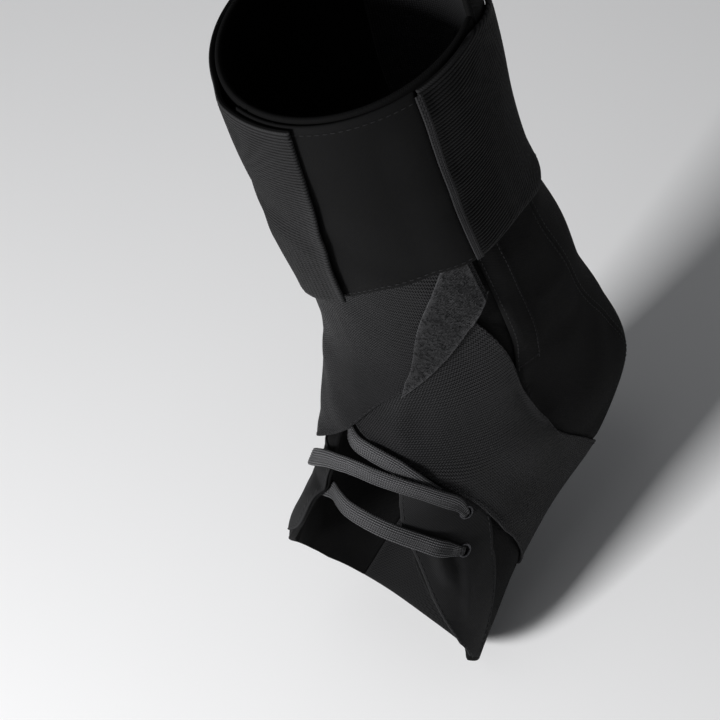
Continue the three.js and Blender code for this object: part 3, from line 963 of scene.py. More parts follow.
def spread(total: np.ndarray, count: int, rim: float) -> np.ndarray:
    """Shares of a length that crowd towards both of its ends.

    Args:
        total: Lengths in millimetres, one for each row.
        count: Number of steps between the rims.
        rim: Radius of the rounded edge in millimetres.

    Returns:
        Shares from 0 to 1, a row for each length.
    """
    total = np.atleast_1d(total).astype(float)[:, None]
    rounding = np.array([0.0, 0.12, 0.45, 1.0])
    largest_share = 0.12
    steps = len(rounding)
    head = np.minimum(rounding * rim / total, largest_share * np.arange(steps) / (steps - 1))
    inner = np.linspace(0, 1, count + 1)[None, 1:-1]
    start = head[:, -1:]
    middle = start + (1 - 2 * start) * inner
    return np.hstack([head, middle, 1 - head[:, ::-1]])


def grid_faces(ids: np.ndarray, turned: bool = False) -> np.ndarray:
    """Faces between the neighbours of a grid of points.

    Args:
        ids: The points' numbers, row by row.
        turned: Whether the faces look the other way.

    Returns:
        Four corners for each face.
    """
    start, below, across, beside = ids[:-1, :-1], ids[1:, :-1], ids[1:, 1:], ids[:-1, 1:]
    corners = [start, beside, across, below] if turned else [start, below, across, beside]
    return np.stack(corners, -1).reshape(-1, 4)


@dataclass
class Panel:
    """A cloth wall between two edges on the worn form.

    Attributes:
        name: The piece's name.
        edges: Rows of station and angle of the first edge and of the second.
        lift: How far its inner face is above the form.
        thick: Its thickness.
        finish: Its finish.
        folds: Rise of both faces.
        emboss: Rise of the outer face alone.
        cell: Size of its grid along and across, in millimetres.
        reach: Distance over which the wear at its edges fades.
        soft: Distance from its edges over which the emboss grows to its full height.
    """

    name: str
    edges: np.ndarray
    lift: float | Field
    thick: float
    finish: ClothFinish
    folds: Field | None = None
    emboss: Field | None = None
    cell: tuple[float, float] = (1.6, 1.6)
    reach: float = 1.4
    soft: float = 3.0

    def __post_init__(self) -> None:
        """Lay out the grid of stations and angles."""
        rows = np.asarray(self.edges, float)
        samples = 600
        fine = np.linspace(0, len(rows) - 1, samples)
        line = smooth_rows(rows, fine)
        station = np.minimum((line[:, 0] + line[:, 2]) / 2, FORM.last)
        middle = FORM.surface(station, (line[:, 1] + line[:, 3]) / 2)
        run = np.concatenate([[0], np.cumsum(np.linalg.norm(np.diff(middle, axis=0), axis=1))])
        self.length = float(run[-1])
        steps = max(2, round(self.length / self.cell[0]))
        self.along = spread(np.array([self.length]), steps, self.thick / 2)[0] * self.length
        self.rows = smooth_rows(rows, np.interp(self.along, run, fine))
        self.widths = self._widths(self.rows)
        count = max(2, round(float(self.widths.max()) / self.cell[1]))
        self.across = spread(np.maximum(self.widths, 0.5), count, self.thick / 2)

    def _widths(self, rows: np.ndarray) -> np.ndarray:
        """Measure each row over the form.

        Args:
            rows: Station and angle of both edges, for each row.

        Returns:
            Widths in millimetres.
        """
        samples = 25
        points = FORM.surface(*self._at(rows, np.linspace(0, 1, samples)))
        return np.linalg.norm(np.diff(points, axis=1), axis=2).sum(axis=1)

    def _at(self, rows: np.ndarray, share: np.ndarray) -> tuple[np.ndarray, np.ndarray]:
        """Stations and angles at shares of the width of rows."""
        station = rows[:, :1] + (rows[:, 2:3] - rows[:, :1]) * share
        return np.minimum(station, FORM.last), rows[:, 1:2] + (rows[:, 3:4] - rows[:, 1:2]) * share

    def _level(self, station: np.ndarray, angle: np.ndarray) -> tuple[np.ndarray, np.ndarray]:
        """Find how high the inner face is.

        Args:
            station: Stations.
            angle: Angles in degrees.

        Returns:
            Lift of the inner face with its folds, and the folds alone.
        """
        low = self.lift(station, angle) if callable(self.lift) else np.full(station.shape, self.lift)
        rise = self.folds(station, angle) if self.folds else np.zeros(station.shape)
        return low + rise, rise

    def build(self) -> bpy.types.Object:
        """Make the piece.

        Returns:
            Its object.
        """
        station, angle = self._at(self.rows, self.across)
        low, rise = self._level(station, angle)
        raised = self.emboss(station, angle) if self.emboss else np.zeros(station.shape)
        r = self.thick / 2
        side = np.minimum(self.across, 1 - self.across) * self.widths[:, None]
        end = np.minimum(self.along, self.length - self.along)[:, None] + np.zeros(station.shape)

        def round_off(gap: np.ndarray) -> np.ndarray:
            """Half thickness share at a distance from an edge."""
            return np.sqrt(np.maximum(1 - (1 - np.clip(gap / r, 0, 1)) ** 2, 0))

        half = r * round_off(side) * round_off(end)
        level = low + r
        base, normal = FORM.surface(station, angle), FORM.normal(station, angle)
        soft = np.clip(np.minimum(side, end) / self.soft, 0, 1)
        outer = base + normal * (level + half + raised * soft)[..., None]
        inner = base + normal * (level - half)[..., None]
        count_r, count_c = station.shape
        ids = np.arange(count_r * count_c).reshape(count_r, count_c)
        under = ids.copy()
        within = np.arange((count_r - 2) * (count_c - 2)).reshape(count_r - 2, count_c - 2)
        under[1:-1, 1:-1] = count_r * count_c + within
        top, bottom = grid_faces(ids), grid_faces(under, turned=True)
        points = np.vstack([outer.reshape(-1, 3), inner[1:-1, 1:-1].reshape(-1, 3)])
        flat_x = (self.across - 0.5) * self.widths[:, None]
        flat = np.stack([flat_x, self.along[:, None] + np.zeros_like(flat_x)], -1)
        uv = np.vstack([flat.reshape(-1, 2), flat[1:-1, 1:-1].reshape(-1, 2)])
        worn = np.exp(-np.minimum(side, end) / self.reach)
        # Painted highlight with rubbed dust on the crests of folds and of the stay's bump: the crest
        # attribute lightens the cloth where it rises.
        high = np.clip(rise + raised, 0, 1)
        blank = np.zeros(within.size)
        facts = {
            "wear": np.concatenate([worn.ravel(), blank]),
            "crest": np.concatenate([high.ravel(), blank]),
            "face": np.concatenate([soft.ravel(), blank]),
        }
        return mesh_object(self.name, points, np.vstack([top, bottom]), self.finish, uv, facts)

    def trace(
        self, inset: float, second: bool = False, start: float = 0.0, stop: float = 1.0
    ) -> tuple[np.ndarray, np.ndarray]:
        """A line on the outer face beside one of the long edges.

        Args:
            inset: Distance from the edge in millimetres.
            second: Whether it runs beside the second edge.
            start: Share of the length where it starts.
            stop: Share of the length where it stops.

        Returns:
            Points in millimetres, and outward directions.
        """
        keep = (self.along >= start * self.length) & (self.along <= stop * self.length)
        rows, widths = self.rows[keep], np.maximum(self.widths[keep], 1.0)
        share = np.clip(inset / widths, 0, 1)
        return self._line(rows, (1 - share if second else share))

    def trace_across(
        self, inset: float, tail: bool = False, margin: float = 2.0
    ) -> tuple[np.ndarray, np.ndarray]:
        """A line on the outer face beside its first or last row.

        Args:
            inset: Distance from the row in millimetres.
            tail: Whether it runs beside the last row.
            margin: Distance between its ends and the long edges.

        Returns:
            Points in millimetres, and outward directions.
        """
        samples = 60
        place = self.length - inset if tail else inset
        row = np.array([np.interp(place, self.along, self.rows[:, k]) for k in range(4)])
        share = np.linspace(margin / self.widths.mean(), 1 - margin / self.widths.mean(), samples)
        return self._line(np.repeat(row[None], samples, axis=0), share)

    def _line(self, rows: np.ndarray, share: np.ndarray) -> tuple[np.ndarray, np.ndarray]:
        """Read the outer face at one share of each row.

        Args:
            rows: Station and angle of both edges, for each row.
            share: Share of the width, for each row.

        Returns:
            Points in millimetres, and outward directions.
        """
        station, angle = self._at(rows, share[:, None])
        low, _ = self._level(station, angle)
        raised = self.emboss(station, angle) if self.emboss else 0.0
        points = FORM.over(station, angle, low + self.thick + raised)
        return points[:, 0], FORM.normal(station, angle)[:, 0]


# Geometry node trees


class RepeatTree(Graph):
    """A geometry node tree built in code, with named inputs."""

    def __init__(self, name: str, **inputs: float | int | bpy.types.Material) -> None:
        """Start a tree.

        Args:
            name: The tree's name.
            **inputs: Named inputs and their usual values.
        """
        super().__init__(bpy.data.node_groups.new(name, "GeometryNodeTree"))
        self.sockets: dict[str, str] = {}
        face = self.tree.interface
        face.new_socket("Geometry", in_out="OUTPUT", socket_type="NodeSocketGeometry")
        face.new_socket("Geometry", in_out="INPUT", socket_type="NodeSocketGeometry")
        for key, value in inputs.items():
            kind = "NodeSocketInt" if isinstance(value, int) else "NodeSocketFloat"
            kind = "NodeSocketMaterial" if isinstance(value, bpy.types.Material) else kind
            socket = face.new_socket(key.replace("_", " "), in_out="INPUT", socket_type=kind)
            socket.default_value = value
            self.sockets[key] = socket.identifier
        self.start = self.tree.nodes.new("NodeGroupInput")
        self.end = self.tree.nodes.new("NodeGroupOutput")

    def given(self, key: str) -> bpy.types.NodeSocket:
        """The socket of a named input."""
        return self.start.outputs[key.replace("_", " ")]

    def close(self, geometry: bpy.types.NodeSocket) -> None:
        """End the tree: make the instances real and give them their material.

        Args:
            geometry: Socket of what the tree has made.
        """
        real = self.node("GeometryNodeRealizeInstances", {0: geometry})
        dressed = self.node("GeometryNodeSetMaterial", {0: real.outputs[0], "Material": self.given("Finish")})
        self.tree.links.new(dressed.outputs[0], self.end.inputs[0])

    def grow(self, base: bpy.types.Object, name: str, **values: Any) -> bpy.types.Object:
        """Run the tree on an object and keep the result as a plain mesh.

        Args:
            base: The object that it starts from, which is removed.
            name: Name of the result.
            **values: Values for the named inputs.

        Returns:
            The new object.
        """
        modifier = base.modifiers.new("grow", "NODES")
        modifier.node_group = self.tree
        for key, value in values.items():
            modifier[self.sockets[key]] = value
        bpy.context.view_layer.update()
        done = base.evaluated_get(bpy.context.evaluated_depsgraph_get())
        mesh = bpy.data.meshes.new_from_object(done)
        base.modifiers.remove(modifier)
        bpy.data.objects.remove(base)
        mesh.name = name
        made = bpy.data.objects.new(name, mesh)
        bpy.context.scene.collection.objects.link(made)
        return made


class StitchTree(RepeatTree):
    """Stitches along a line: short threads, end to end, that dip at their ends."""

    def __init__(self) -> None:
        """Build the tree."""
        finish = THREAD.material()
        super().__init__("stitches", Pitch=2.4 * MM, Length=1.9 * MM, Thread=0.32 * MM, Finish=finish)
        curve = self.node("GeometryNodeMeshToCurve", {"Mesh": self.start.outputs[0]})
        spacing = {"Curve": curve.outputs[0], "Length": self.given("Pitch")}
        even = self.node("GeometryNodeResampleCurve", spacing, mode="LENGTH")
        lean = self.node("GeometryNodeInputNamedAttribute", {"Name": "lean"}, data_type="FLOAT_VECTOR")
        way = self.node("GeometryNodeInputTangent")
        turn = self.node(
            "FunctionNodeAxesToRotation",
            {"Primary Axis": lean.outputs[0], "Secondary Axis": way.outputs[0]},
            primary_axis="Z",
            secondary_axis="X",
        )
        ball = self.node("GeometryNodeMeshIcoSphere", {"Radius": 0.5, "Subdivisions": 2})
        thread = self.given("Thread")
        size = self.node("ShaderNodeCombineXYZ", {0: self.given("Length"), 1: thread, 2: thread})
        laid = self.node(
            "GeometryNodeInstanceOnPoints",
            {
                "Points": even.outputs[0],
                "Instance": ball.outputs[0],
                "Rotation": turn.outputs[0],
                "Scale": size.outputs[0],
            },
        )
        self.close(laid.outputs[0])


class RibTree(RepeatTree):
    """Ribs that go round the cuff, raised on the outer face of an elastic band."""

    def __init__(self) -> None:
        """Build the tree."""
        super().__init__("ribs", Pitch=RIB_PITCH * MM, Height=0.28 * MM, Finish=ELASTIC.material())
        face = self.node("GeometryNodeInputNamedAttribute", {"Name": "face"}, data_type="FLOAT")
        place = self.node("GeometryNodeInputPosition")
        parts = self.node("ShaderNodeSeparateXYZ", {0: place.outputs[0]})
        turn = self.math("MULTIPLY", self.math("DIVIDE", parts.outputs[2], self.given("Pitch")), math.pi)
        ridge = self.math("POWER", self.math("ABSOLUTE", self.math("SINE", turn)), 0.7)
        rise = self.math("MULTIPLY", self.math("MULTIPLY", ridge, self.given("Height")), face.outputs[0])
        normal = self.node("GeometryNodeInputNormal")
        offset = self.node("ShaderNodeVectorMath", {0: normal.outputs[0]}, operation="SCALE")
        self.tree.links.new(rise, offset.inputs["Scale"])
        shift = {"Geometry": self.start.outputs[0], "Offset": offset.outputs[0]}
        self.close(self.node("GeometryNodeSetPosition", shift).outputs[0])


class PileTree(RepeatTree):
    """Small thread loops scattered over the outer face of a band."""

    def __init__(self) -> None:
        """Build the tree."""
        super().__init__(
            "loop_pile", Density=2600000.0, Loop=0.42 * MM, Thread=0.06 * MM, Seed=11, Finish=PILE.material()
        )
        face = self.node("GeometryNodeInputNamedAttribute", {"Name": "face"}, data_type="FLOAT")
        chosen = self.node("FunctionNodeCompare", {0: face.outputs[0], 1: 0.02}, operation="GREATER_THAN")
        thinning = self.math("POWER", face.outputs[0], 0.7)
        strewn = self.node(
            "GeometryNodeDistributePointsOnFaces",
            {
                "Mesh": self.start.outputs[0],
                "Selection": chosen.outputs[0],
                "Density": self.math("MULTIPLY", self.given("Density"), thinning),
                "Seed": self.given("Seed"),
            },
        )
        bend = math.pi * 1.15
        arc = self.node("GeometryNodeCurveArc", {"Resolution": 5, "Radius": 1.0, "Sweep Angle": bend})
        ring = self.node("GeometryNodeCurvePrimitiveCircle", {"Resolution": 3})
        thin = self.math("DIVIDE", self.given("Thread"), self.given("Loop"))
        self.tree.links.new(thin, ring.inputs["Radius"])
        loop = self.node(
            "GeometryNodeCurveToMesh", {"Curve": arc.outputs[0], "Profile Curve": ring.outputs[0]}
        )
        raised = {"Geometry": loop.outputs[0], "Rotation": (math.pi / 2, 0.0, 0.0)}
        upright = self.node("GeometryNodeTransform", raised)
        spin = self.node("FunctionNodeRandomValue", {"Seed": self.given("Seed")}, data_type="FLOAT_VECTOR")
        tilt, whole_turn = 0.7, 6.28
        spin.inputs[0].default_value = (-tilt, -tilt, 0.0)
        spin.inputs[1].default_value = (tilt, tilt, whole_turn)
        turned = self.node(
            "FunctionNodeRotateRotation",
            {"Rotation": strewn.outputs["Rotation"], "Rotate By": spin.outputs[0]},
            rotation_space="LOCAL",
        )
        size = self.node("FunctionNodeRandomValue", {"Seed": self.given("Seed")}, data_type="FLOAT")
        smallest, largest = 0.6, 1.25
        size.inputs[2].default_value = smallest
        size.inputs[3].default_value = largest
        scaled = self.math("MULTIPLY", size.outputs[1], self.given("Loop"))
        laid = self.node(
            "GeometryNodeInstanceOnPoints",
            {
                "Points": strewn.outputs[0],
                "Instance": upright.outputs[0],
                "Rotation": turned.outputs[0],
                "Scale": scaled,
            },
        )
        both = self.node("GeometryNodeJoinGeometry")
        self.tree.links.new(laid.outputs[0], both.inputs[0])
        self.tree.links.new(self.start.outputs[0], both.inputs[0])
        self.close(both.outputs[0])


@dataclass
class Workshop:
    """What the sub-assemblies share.

    Attributes:
        stitches: Tree that lays stitches.
        ribs: Tree that raises the elastic's ribs.
        pile: Tree that strews the pile's loops.
        layering: The tiers of cloth laid so far.
        made: The finished pieces.
    """

    stitches: StitchTree
    ribs: RibTree
    pile: PileTree
    layering: Layering = field(default_factory=Layering)
    made: list[bpy.types.Object] = field(default_factory=list)

    def keep(self, piece: bpy.types.Object, slot: str, *nodes: str) -> bpy.types.Object:
        """Let a piece ride on the part, hide the solids that it stands for and report it.

        Args:
            piece: The finished piece.
            slot: The record's material slot, which is not used.
            *nodes: Solids that it stands for.

        Returns:
            The piece.
        """
        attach(piece, "root")
        if nodes:
            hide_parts(*nodes)
        self.made.append(piece)
        LOG.info("%s: %d faces", piece.name, len(piece.data.polygons))
        return piece

    def sew(
        self,
        name: str,
        slot: str,
        lines: Sequence[tuple[np.ndarray, np.ndarray]],
        pitch: float = 2.5,
        length: float = 1.95,
        thread: float = 0.34,
    ) -> bpy.types.Object:
        """Sew rows of stitches.

        Args:
            name: The piece's name.
            slot: The record's material slot.
            lines: Points and outward directions of each row.
            pitch: Distance between stitches.
            length: Length of a stitch.
            thread: Thickness of the thread.

        Returns:
            The piece.
        """
        raised_share = 0.12
        points, leans, edges = [], [], []
        for line, lean in lines:
            first = sum(len(p) for p in points)
            points.append(line + lean * thread * raised_share)
            leans.append(lean)
            edges += [(first + k, first + k + 1) for k in range(len(line) - 1)]
        mesh = bpy.data.meshes.new(name)
        mesh.from_pydata((np.vstack(points) * MM).tolist(), edges, [])
        store = mesh.attributes.new("lean", "FLOAT_VECTOR", "POINT")
        store.data.foreach_set("vector", np.vstack(leans).astype(np.float32).ravel())
        base = bpy.data.objects.new(name + "_line", mesh)
        bpy.context.scene.collection.objects.link(base)
        piece = self.stitches.grow(
            base, name, Pitch=pitch * MM, Length=length * MM, Thread=thread * MM, Finish=THREAD.material()
        )
        piece.data.shade_smooth()
        if "cloth" not in piece.data.uv_layers:
            piece.data.uv_layers.new(name="cloth")
        return self.keep(piece, slot)


@dataclass
class Assembly:
    """A sub-assembly of the brace, made in the shop that all of them share."""

    shop: Workshop


# Tables of the boot


def read_table(table: Sequence[tuple[float, ...]], column: int, station: float) -> float:
    """A value of a table's column at a station."""
    return float(np.interp(station, [r[0] for r in table], [r[column] for r in table]))


@dataclass(frozen=True)
class BootPattern:
    """Edges of the boot's cloth, as the source of the solids has them.

    Attributes:
        opening_head: Station where the instep opening begins.
        butt_gap: Gap between two butted pieces in millimetres, negative where they run into each other.
        seam_angle: Angle of the seam to the back at the top.
        course: Stations between two rows of the cloth's edges.
        front_edge: Station, and angle of the near and the far edge of the opening.
        back_seam: Station, and how far the seam to the back and sole is behind seam_angle.
    """

    opening_head: float = 5.6
    butt_gap: float = -0.45
    seam_angle: float = 119.0
    course: float = 0.4
    front_edge: tuple[tuple[float, float, float], ...] = (
        (5.6, 20, -8),
        (6.2, 25, -10),
        (7.0, 27, -11),
        (7.6, 28.5, -12),
        (8.7, 34, -14),
        (9.4, 41, -16),
        (10.0, 51, -20),
        (10.5, 68, -30),
        (10.8, 92, -48),
        (11.0, 101, -101),
    )
    back_seam: tuple[tuple[float, float], ...] = (
        (0, 0),
        (3, 0),
        (4.5, 8),
        (6, 20),
        (7.4, 30),
        (8.5, 26),
        (9.5, 20),
        (11, 16),
    )

    def front(self, station: float, side: int) -> float:
        """Find the front edge of a side of the boot.

        Args:
            station: Station.
            side: 1 for the near side and -1 for the far side.

        Returns:
            Its angle in degrees.
        """
        if station < self.opening_head:
            return side * self.butt_gap / 2 / FORM.per_degree
        return read_table(self.front_edge, 1 if side > 0 else 2, station)

    def seam(self, station: float) -> float:
        """Angle of the seam between the side and the back or sole."""
        return self.seam_angle + read_table(self.back_seam, 1, station)

    @property
    def half_gap(self) -> float:
        """Half of the gap between two butted pieces, in degrees."""
        return self.butt_gap / FORM.per_degree / 2

    def edges(self, first: float, last: float, start: Callable, stop: Callable) -> np.ndarray:
        """Lay out a piece's edges at the courses that all the boot's pieces share.

        Args:
            first: Station of the first row.
            last: Station of the last row.
            start: Angle of the first edge at a station.
            stop: Angle of the second edge at a station.

        Returns:
            Rows of station and angle of both edges.
        """
        least = 0.25
        k = math.ceil(first / self.course + least)
        inner = []
        while k * self.course < last - self.course * least:
            inner.append(k * self.course)
            k += 1
        return np.array([[s, start(s), s, stop(s)] for s in [first, *inner, last]])


PATTERN = BootPattern()
EYELETS: dict[str, tuple[tuple[float, float], ...]] = {
    "near": ((8.45, 63.0), (9.4, 72.0)),
    "far": ((9.35, -62.0), (10.05, -70.0)),
}


def cut_holes(piece: bpy.types.Object, places: Iterable[tuple[float, float]]) -> None:
    """Cut lace holes through a piece.

    Args:
        piece: The piece.
        places: Station and angle of each hole.
    """
    sides, depth = 28, 18.0
    for station, angle in places:
        centre = FORM.over(station, angle, WALL)
        normal = FORM.normal(station, angle)
        radius = EYELET_BORE / 2 * MM
        bpy.ops.mesh.primitive_cylinder_add(vertices=sides, radius=radius, depth=depth * MM)
        bar = bpy.context.object
        bar.rotation_mode = "QUATERNION"
        bar.rotation_quaternion = Vector(normal).to_track_quat("Z", "Y")
        bar.location = Vector(centre * MM)
        bpy.context.view_layer.update()
        cut = piece.modifiers.new("hole", "BOOLEAN")
        cut.operation, cut.solver, cut.object = "DIFFERENCE", "EXACT", bar
        done = piece.evaluated_get(bpy.context.evaluated_depsgraph_get())
        mesh = bpy.data.meshes.new_from_object(done)
        piece.modifiers.remove(cut)
        old = piece.data
        piece.data = mesh
        bpy.data.meshes.remove(old)
        bpy.data.objects.remove(bar)


@dataclass
class Boot(Assembly):
    """The cloth boot: its two sides, its back and its sole.

    Attributes:
        wall: Thickness of the cloth.
        heel_seam: Station of the seam between the back and the sole.
        sole_gap: Stations between the seam and the sole's first row, negative where they meet.
        side_folds: Folds of both sides, by their angles on the near side.
        side_slack: Waves of both sides.
        heel_folds: Waves and the dent of the heel, by the angle on the near side.
        far_splay: How the far flap stands off at the mouth.
        press: How deep the straps press into the cloth.
        swell: How far the cloth rises between the straps.
        fold_head: Height below which the folds set in.
    """

    wall: float = WALL
    heel_seam: float = 8.0
    sole_gap: float = -0.015
    side_folds: tuple[Fold, ...] = (
        Fold(((9.2, 50), (9.6, 59), (9.8, 62), (10.1, 70)), 1.0, 2.6),
        Fold(((9.0, 56), (9.5, 66), (9.9, 74), (10.2, 82)), -0.8, 2.2),
        Fold(((9.8, 76), (10.2, 84), (10.6, 92)), 0.7, 3.0),
        Fold(((4.7, 80), (4.9, 80), (5.2, 80), (5.7, 81), (6.2, 83), (6.6, 86)), 1.4, 1.1),
        Fold(((4.9, 84), (5.6, 85), (6.4, 89)), -0.8, 3.0),
        Fold(((6.9, 100), (6.6, 112), (6.0, 126), (5.4, 136)), 0.6, 5.0),
        Fold(((7.6, 96), (7.5, 112), (7.2, 128)), -0.6, 6.0),
        Fold(((4.4, 95), (4.8, 108), (5.0, 124)), -0.6, 5.0),
        Fold(((3.7, 96), (3.9, 106), (4.1, 118)), 0.45, 3.5),
    )
    side_slack: Slack = Slack(0.35, 26.0, 6)
    heel_folds: tuple[Slack | Fold, ...] = (
        Slack(0.3, 30.0, 9),
        Fold(((6.2, 172), (6.4, 180), (6.2, 188)), -0.5, 6.0),
    )
    far_splay: Fold = Fold(((9.2, -19), (9.7, -22), (10.2, -30), (10.6, -42), (10.8, -58)), 3.0, 8.0)
    press: float = 0.75
    swell: float = 0.5
    fold_head: float = 96.0

    def ground(self) -> Field:
        """Work out the folds of the whole boot, which die out under the cuff.

        Returns:
            Their rise.
        """
        flank_folds = sum_of([*self.side_folds, self.side_slack])
        heel = sum_of(self.heel_folds)
        top = FORM.station_at(self.fold_head)
        dent_margin, dent_fade = 1.2, 3.0
        seam_fade, middle_fade, head_fade = 6.0, 4.0, 0.5
        bands = []
        for way in (-1, 1):
            rows = Straps.rows(Straps.course, way)
            ring = np.vstack([rows[:, :2], rows[::-1, 2:]])
            bands.append(FORM.chart(ring[:, 0], ring[:, 1]))

        def read(station: np.ndarray, angle: np.ndarray) -> np.ndarray:
            """Read the rise of the boot's cloth.

            Args:
                station: Stations.
                angle: Angles in degrees.

            Returns:
                Rise in millimetres.
            """
            side = (np.asarray(angle, float) + 180) % 360 - 180
            turn = np.abs(side)
            points = FORM.chart(station, side)
            under_strap = np.maximum(*(inside_of(band, points) for band in bands))
            dent = np.clip((under_strap + dent_margin) / dent_fade, 0, 1)
            seam = np.array([PATTERN.seam(s) for s in np.ravel(station)]).reshape(np.shape(station))
            behind = np.clip((turn - seam) / seam_fade + 0.5, 0, 1)
            middle = np.clip(turn / middle_fade, 0, 1)
            rise = flank_folds(station, turn) * middle * (1 - behind) + heel(station, turn) * behind
            rise = rise + self.far_splay.read(station, side) * (1 - behind)
            return (rise + self.swell - self.press * dent) * np.clip((station - top) / head_fade, 0, 1)

        return read

    def build(self) -> None:
        """Make the boot's pieces and their seams."""
        head = FORM.station_at(FORM.cuff_top + 1)
        half = PATTERN.half_gap

        def near_edge(station: float) -> float:
            """Near edge of the back and the sole."""
            return PATTERN.seam(station) + half

        def far_edge(station: float) -> float:
            """Far edge of the back and the sole."""
            return 360 - PATTERN.seam(station) - half

        near = PATTERN.edges(head, FORM.last, lambda s: PATTERN.front(s, 1), lambda s: PATTERN.seam(s) - half)
        far = PATTERN.edges(head, FORM.last, lambda s: half - PATTERN.seam(s), lambda s: PATTERN.front(s, -1))
        back = PATTERN.edges(0, self.heel_seam, near_edge, far_edge)
        sole = PATTERN.edges(self.heel_seam + self.sole_gap, FORM.last, near_edge, far_edge)
        sides = {}
        folds = self.shop.layering.crease(self.ground())
        for name, node, edges, key in (
            ("near_side_cloth", "boot_near_side", near, "near"),
            ("far_side_cloth", "boot_far_side", far, "far"),
        ):
            panel = Panel(name, edges, 0.0, self.wall, TWILL, folds=folds)
            piece = panel.build()
            cut_holes(piece, EYELETS[key])
            self.shop.keep(piece, node, node)
            sides[key] = panel
        back_panel = Panel("back_cloth", back, 0.0, self.wall, TWILL, folds=folds)
        self.shop.keep(back_panel.build(), "boot_back", "boot_back")
        sole_panel = Panel("sole_cloth", sole, 0.0, self.wall, SOLE_TWILL, folds=folds)
        self.shop.keep(sole_panel.build(), "sole", "sole")
        seam_inset, flap_inset, hem_inset = 1.6, 1.5, 1.8
        cuff_share, flap_share, mouth_share = 0.3, 0.75, 0.985
        self.shop.sew(
            "side_seam_stitches",
            "boot_near_side",
            [
                sides["near"].trace(seam_inset, second=True, start=cuff_share, stop=mouth_share),
                sides["far"].trace(seam_inset, start=cuff_share, stop=mouth_share),
                sides["near"].trace(flap_inset, start=flap_share, stop=mouth_share),
                sides["far"].trace(flap_inset, second=True, start=flap_share, stop=mouth_share),
            ],
        )
        self.shop.sew(
            "back_seam_stitches",
            "boot_back",
            [
                back_panel.trace(seam_inset),
                back_panel.trace(seam_inset, second=True),
                back_panel.trace_across(hem_inset),
                back_panel.trace_across(hem_inset, tail=True),
                sole_panel.trace_across(hem_inset),
            ],
        )


# Facings and stay pockets


@dataclass
class LaceFacings(Assembly):
    """Reinforced facings that carry the lace holes along the instep opening.

    Attributes:
        thick: Thickness of the facings.
        sunk: How deep they are sewn down into the cloth.
        ring: Radius of an eyelet's ring, to the middle of its roll.
        roll: Half width of the roll.
        crown: Half height of the roll.
        rear: Station, and angle of the rear edge.
    """

    thick: float = 0.9
    sunk: float = 0.45
    ring: float = 2.25
    roll: float = 0.42
    crown: float = 0.24
    rear: tuple[tuple[float, float], ...] = (
        (7.5, 50),
        (8.0, 63),
        (8.5, 75),
        (9.4, 91),
        (10.4, 107),
        (10.93, 112),
    )

    def edges(self, side: int) -> np.ndarray:
        """Lay out the facing on a side.

        Args:
            side: 1 for the near side and -1 for the far side.

        Returns:
            Rows of station and angle of both edges.
        """
        rows = []
        for station, back in self.rear:
            front = [station, PATTERN.front(station, side)]
            behind = [station, side * back]
            rows.append([*front, *behind] if side > 0 else [*behind, *front])
        return np.array(rows)

    def build(self, lift: Field) -> None:
        """Make both facings with their eyelets and stitches.

        Args:
            lift: Lift over what lies under them.
        """
        rings, lines = [], []
        rear_inset, front_inset = 1.3, 1.2

        def level_at(station: np.ndarray, angle: np.ndarray) -> np.ndarray:
            """Lift of the facings, which are sewn down into the cloth."""
            return lift(station, angle) - self.sunk

        for side, key in ((1, "near"), (-1, "far")):
            name = f"{key}_facing_cloth"
            edges = self.edges(side)
            base = self.shop.layering.crease()
            panel = Panel(name, edges, level_at, self.thick, BOUNCE_LIT_TWILL, folds=base, cell=(1.2, 1.2))
            piece = panel.build()
            cut_holes(piece, EYELETS[key])
            self.shop.keep(piece, f"lace_facing_{key}", f"lace_facing_{key}")
            lines.append(panel.trace(rear_inset, second=side > 0))
            lines.append(panel.trace(front_inset, second=side < 0))
            for station, angle in EYELETS[key]:
                level = float(level_at(np.array([station]), np.array([angle]))[0]) + self.thick
                fold = float(base(np.array([station]), np.array([angle]))[0])
                rings.append((FORM.over(station, angle, level + fold), FORM.normal(station, angle)))
        self.shop.sew("facing_stitches", "lace_facing_near", lines)
        self.shop.keep(self.eyelets(rings), "lace_facing_near")

    def eyelets(self, rings: Sequence[tuple[np.ndarray, np.ndarray]]) -> bpy.types.Object:
        """Rolled rings at the lace holes.

        Args:
            rings: Centre and direction of each.

        Returns:
            One object with all the rings.
        """
        around, turns = 32, 8
        points, faces = [], []
        for centre, normal in rings:
            side = unit(np.cross(normal, [0.3, 0.2, 0.9]))
            up = np.cross(normal, side)
            first = len(points)
            for i in range(around):
                a = 2 * math.pi * i / around
                out = math.cos(a) * side + math.sin(a) * up
                for j in range(turns):
                    b = 2 * math.pi * j / turns
                    radius = self.ring + self.roll * math.cos(b)
                    points.append(centre + out * radius + normal * self.crown * math.sin(b))
            for i in range(around):
                here, ahead = first + i * turns, first + (i + 1) % around * turns
                for j in range(turns):
                    k = (j + 1) % turns
                    faces.append([here + j, ahead + j, ahead + k, here + k])
        return mesh_object("eyelet_rings", np.array(points), faces, LACQUER)


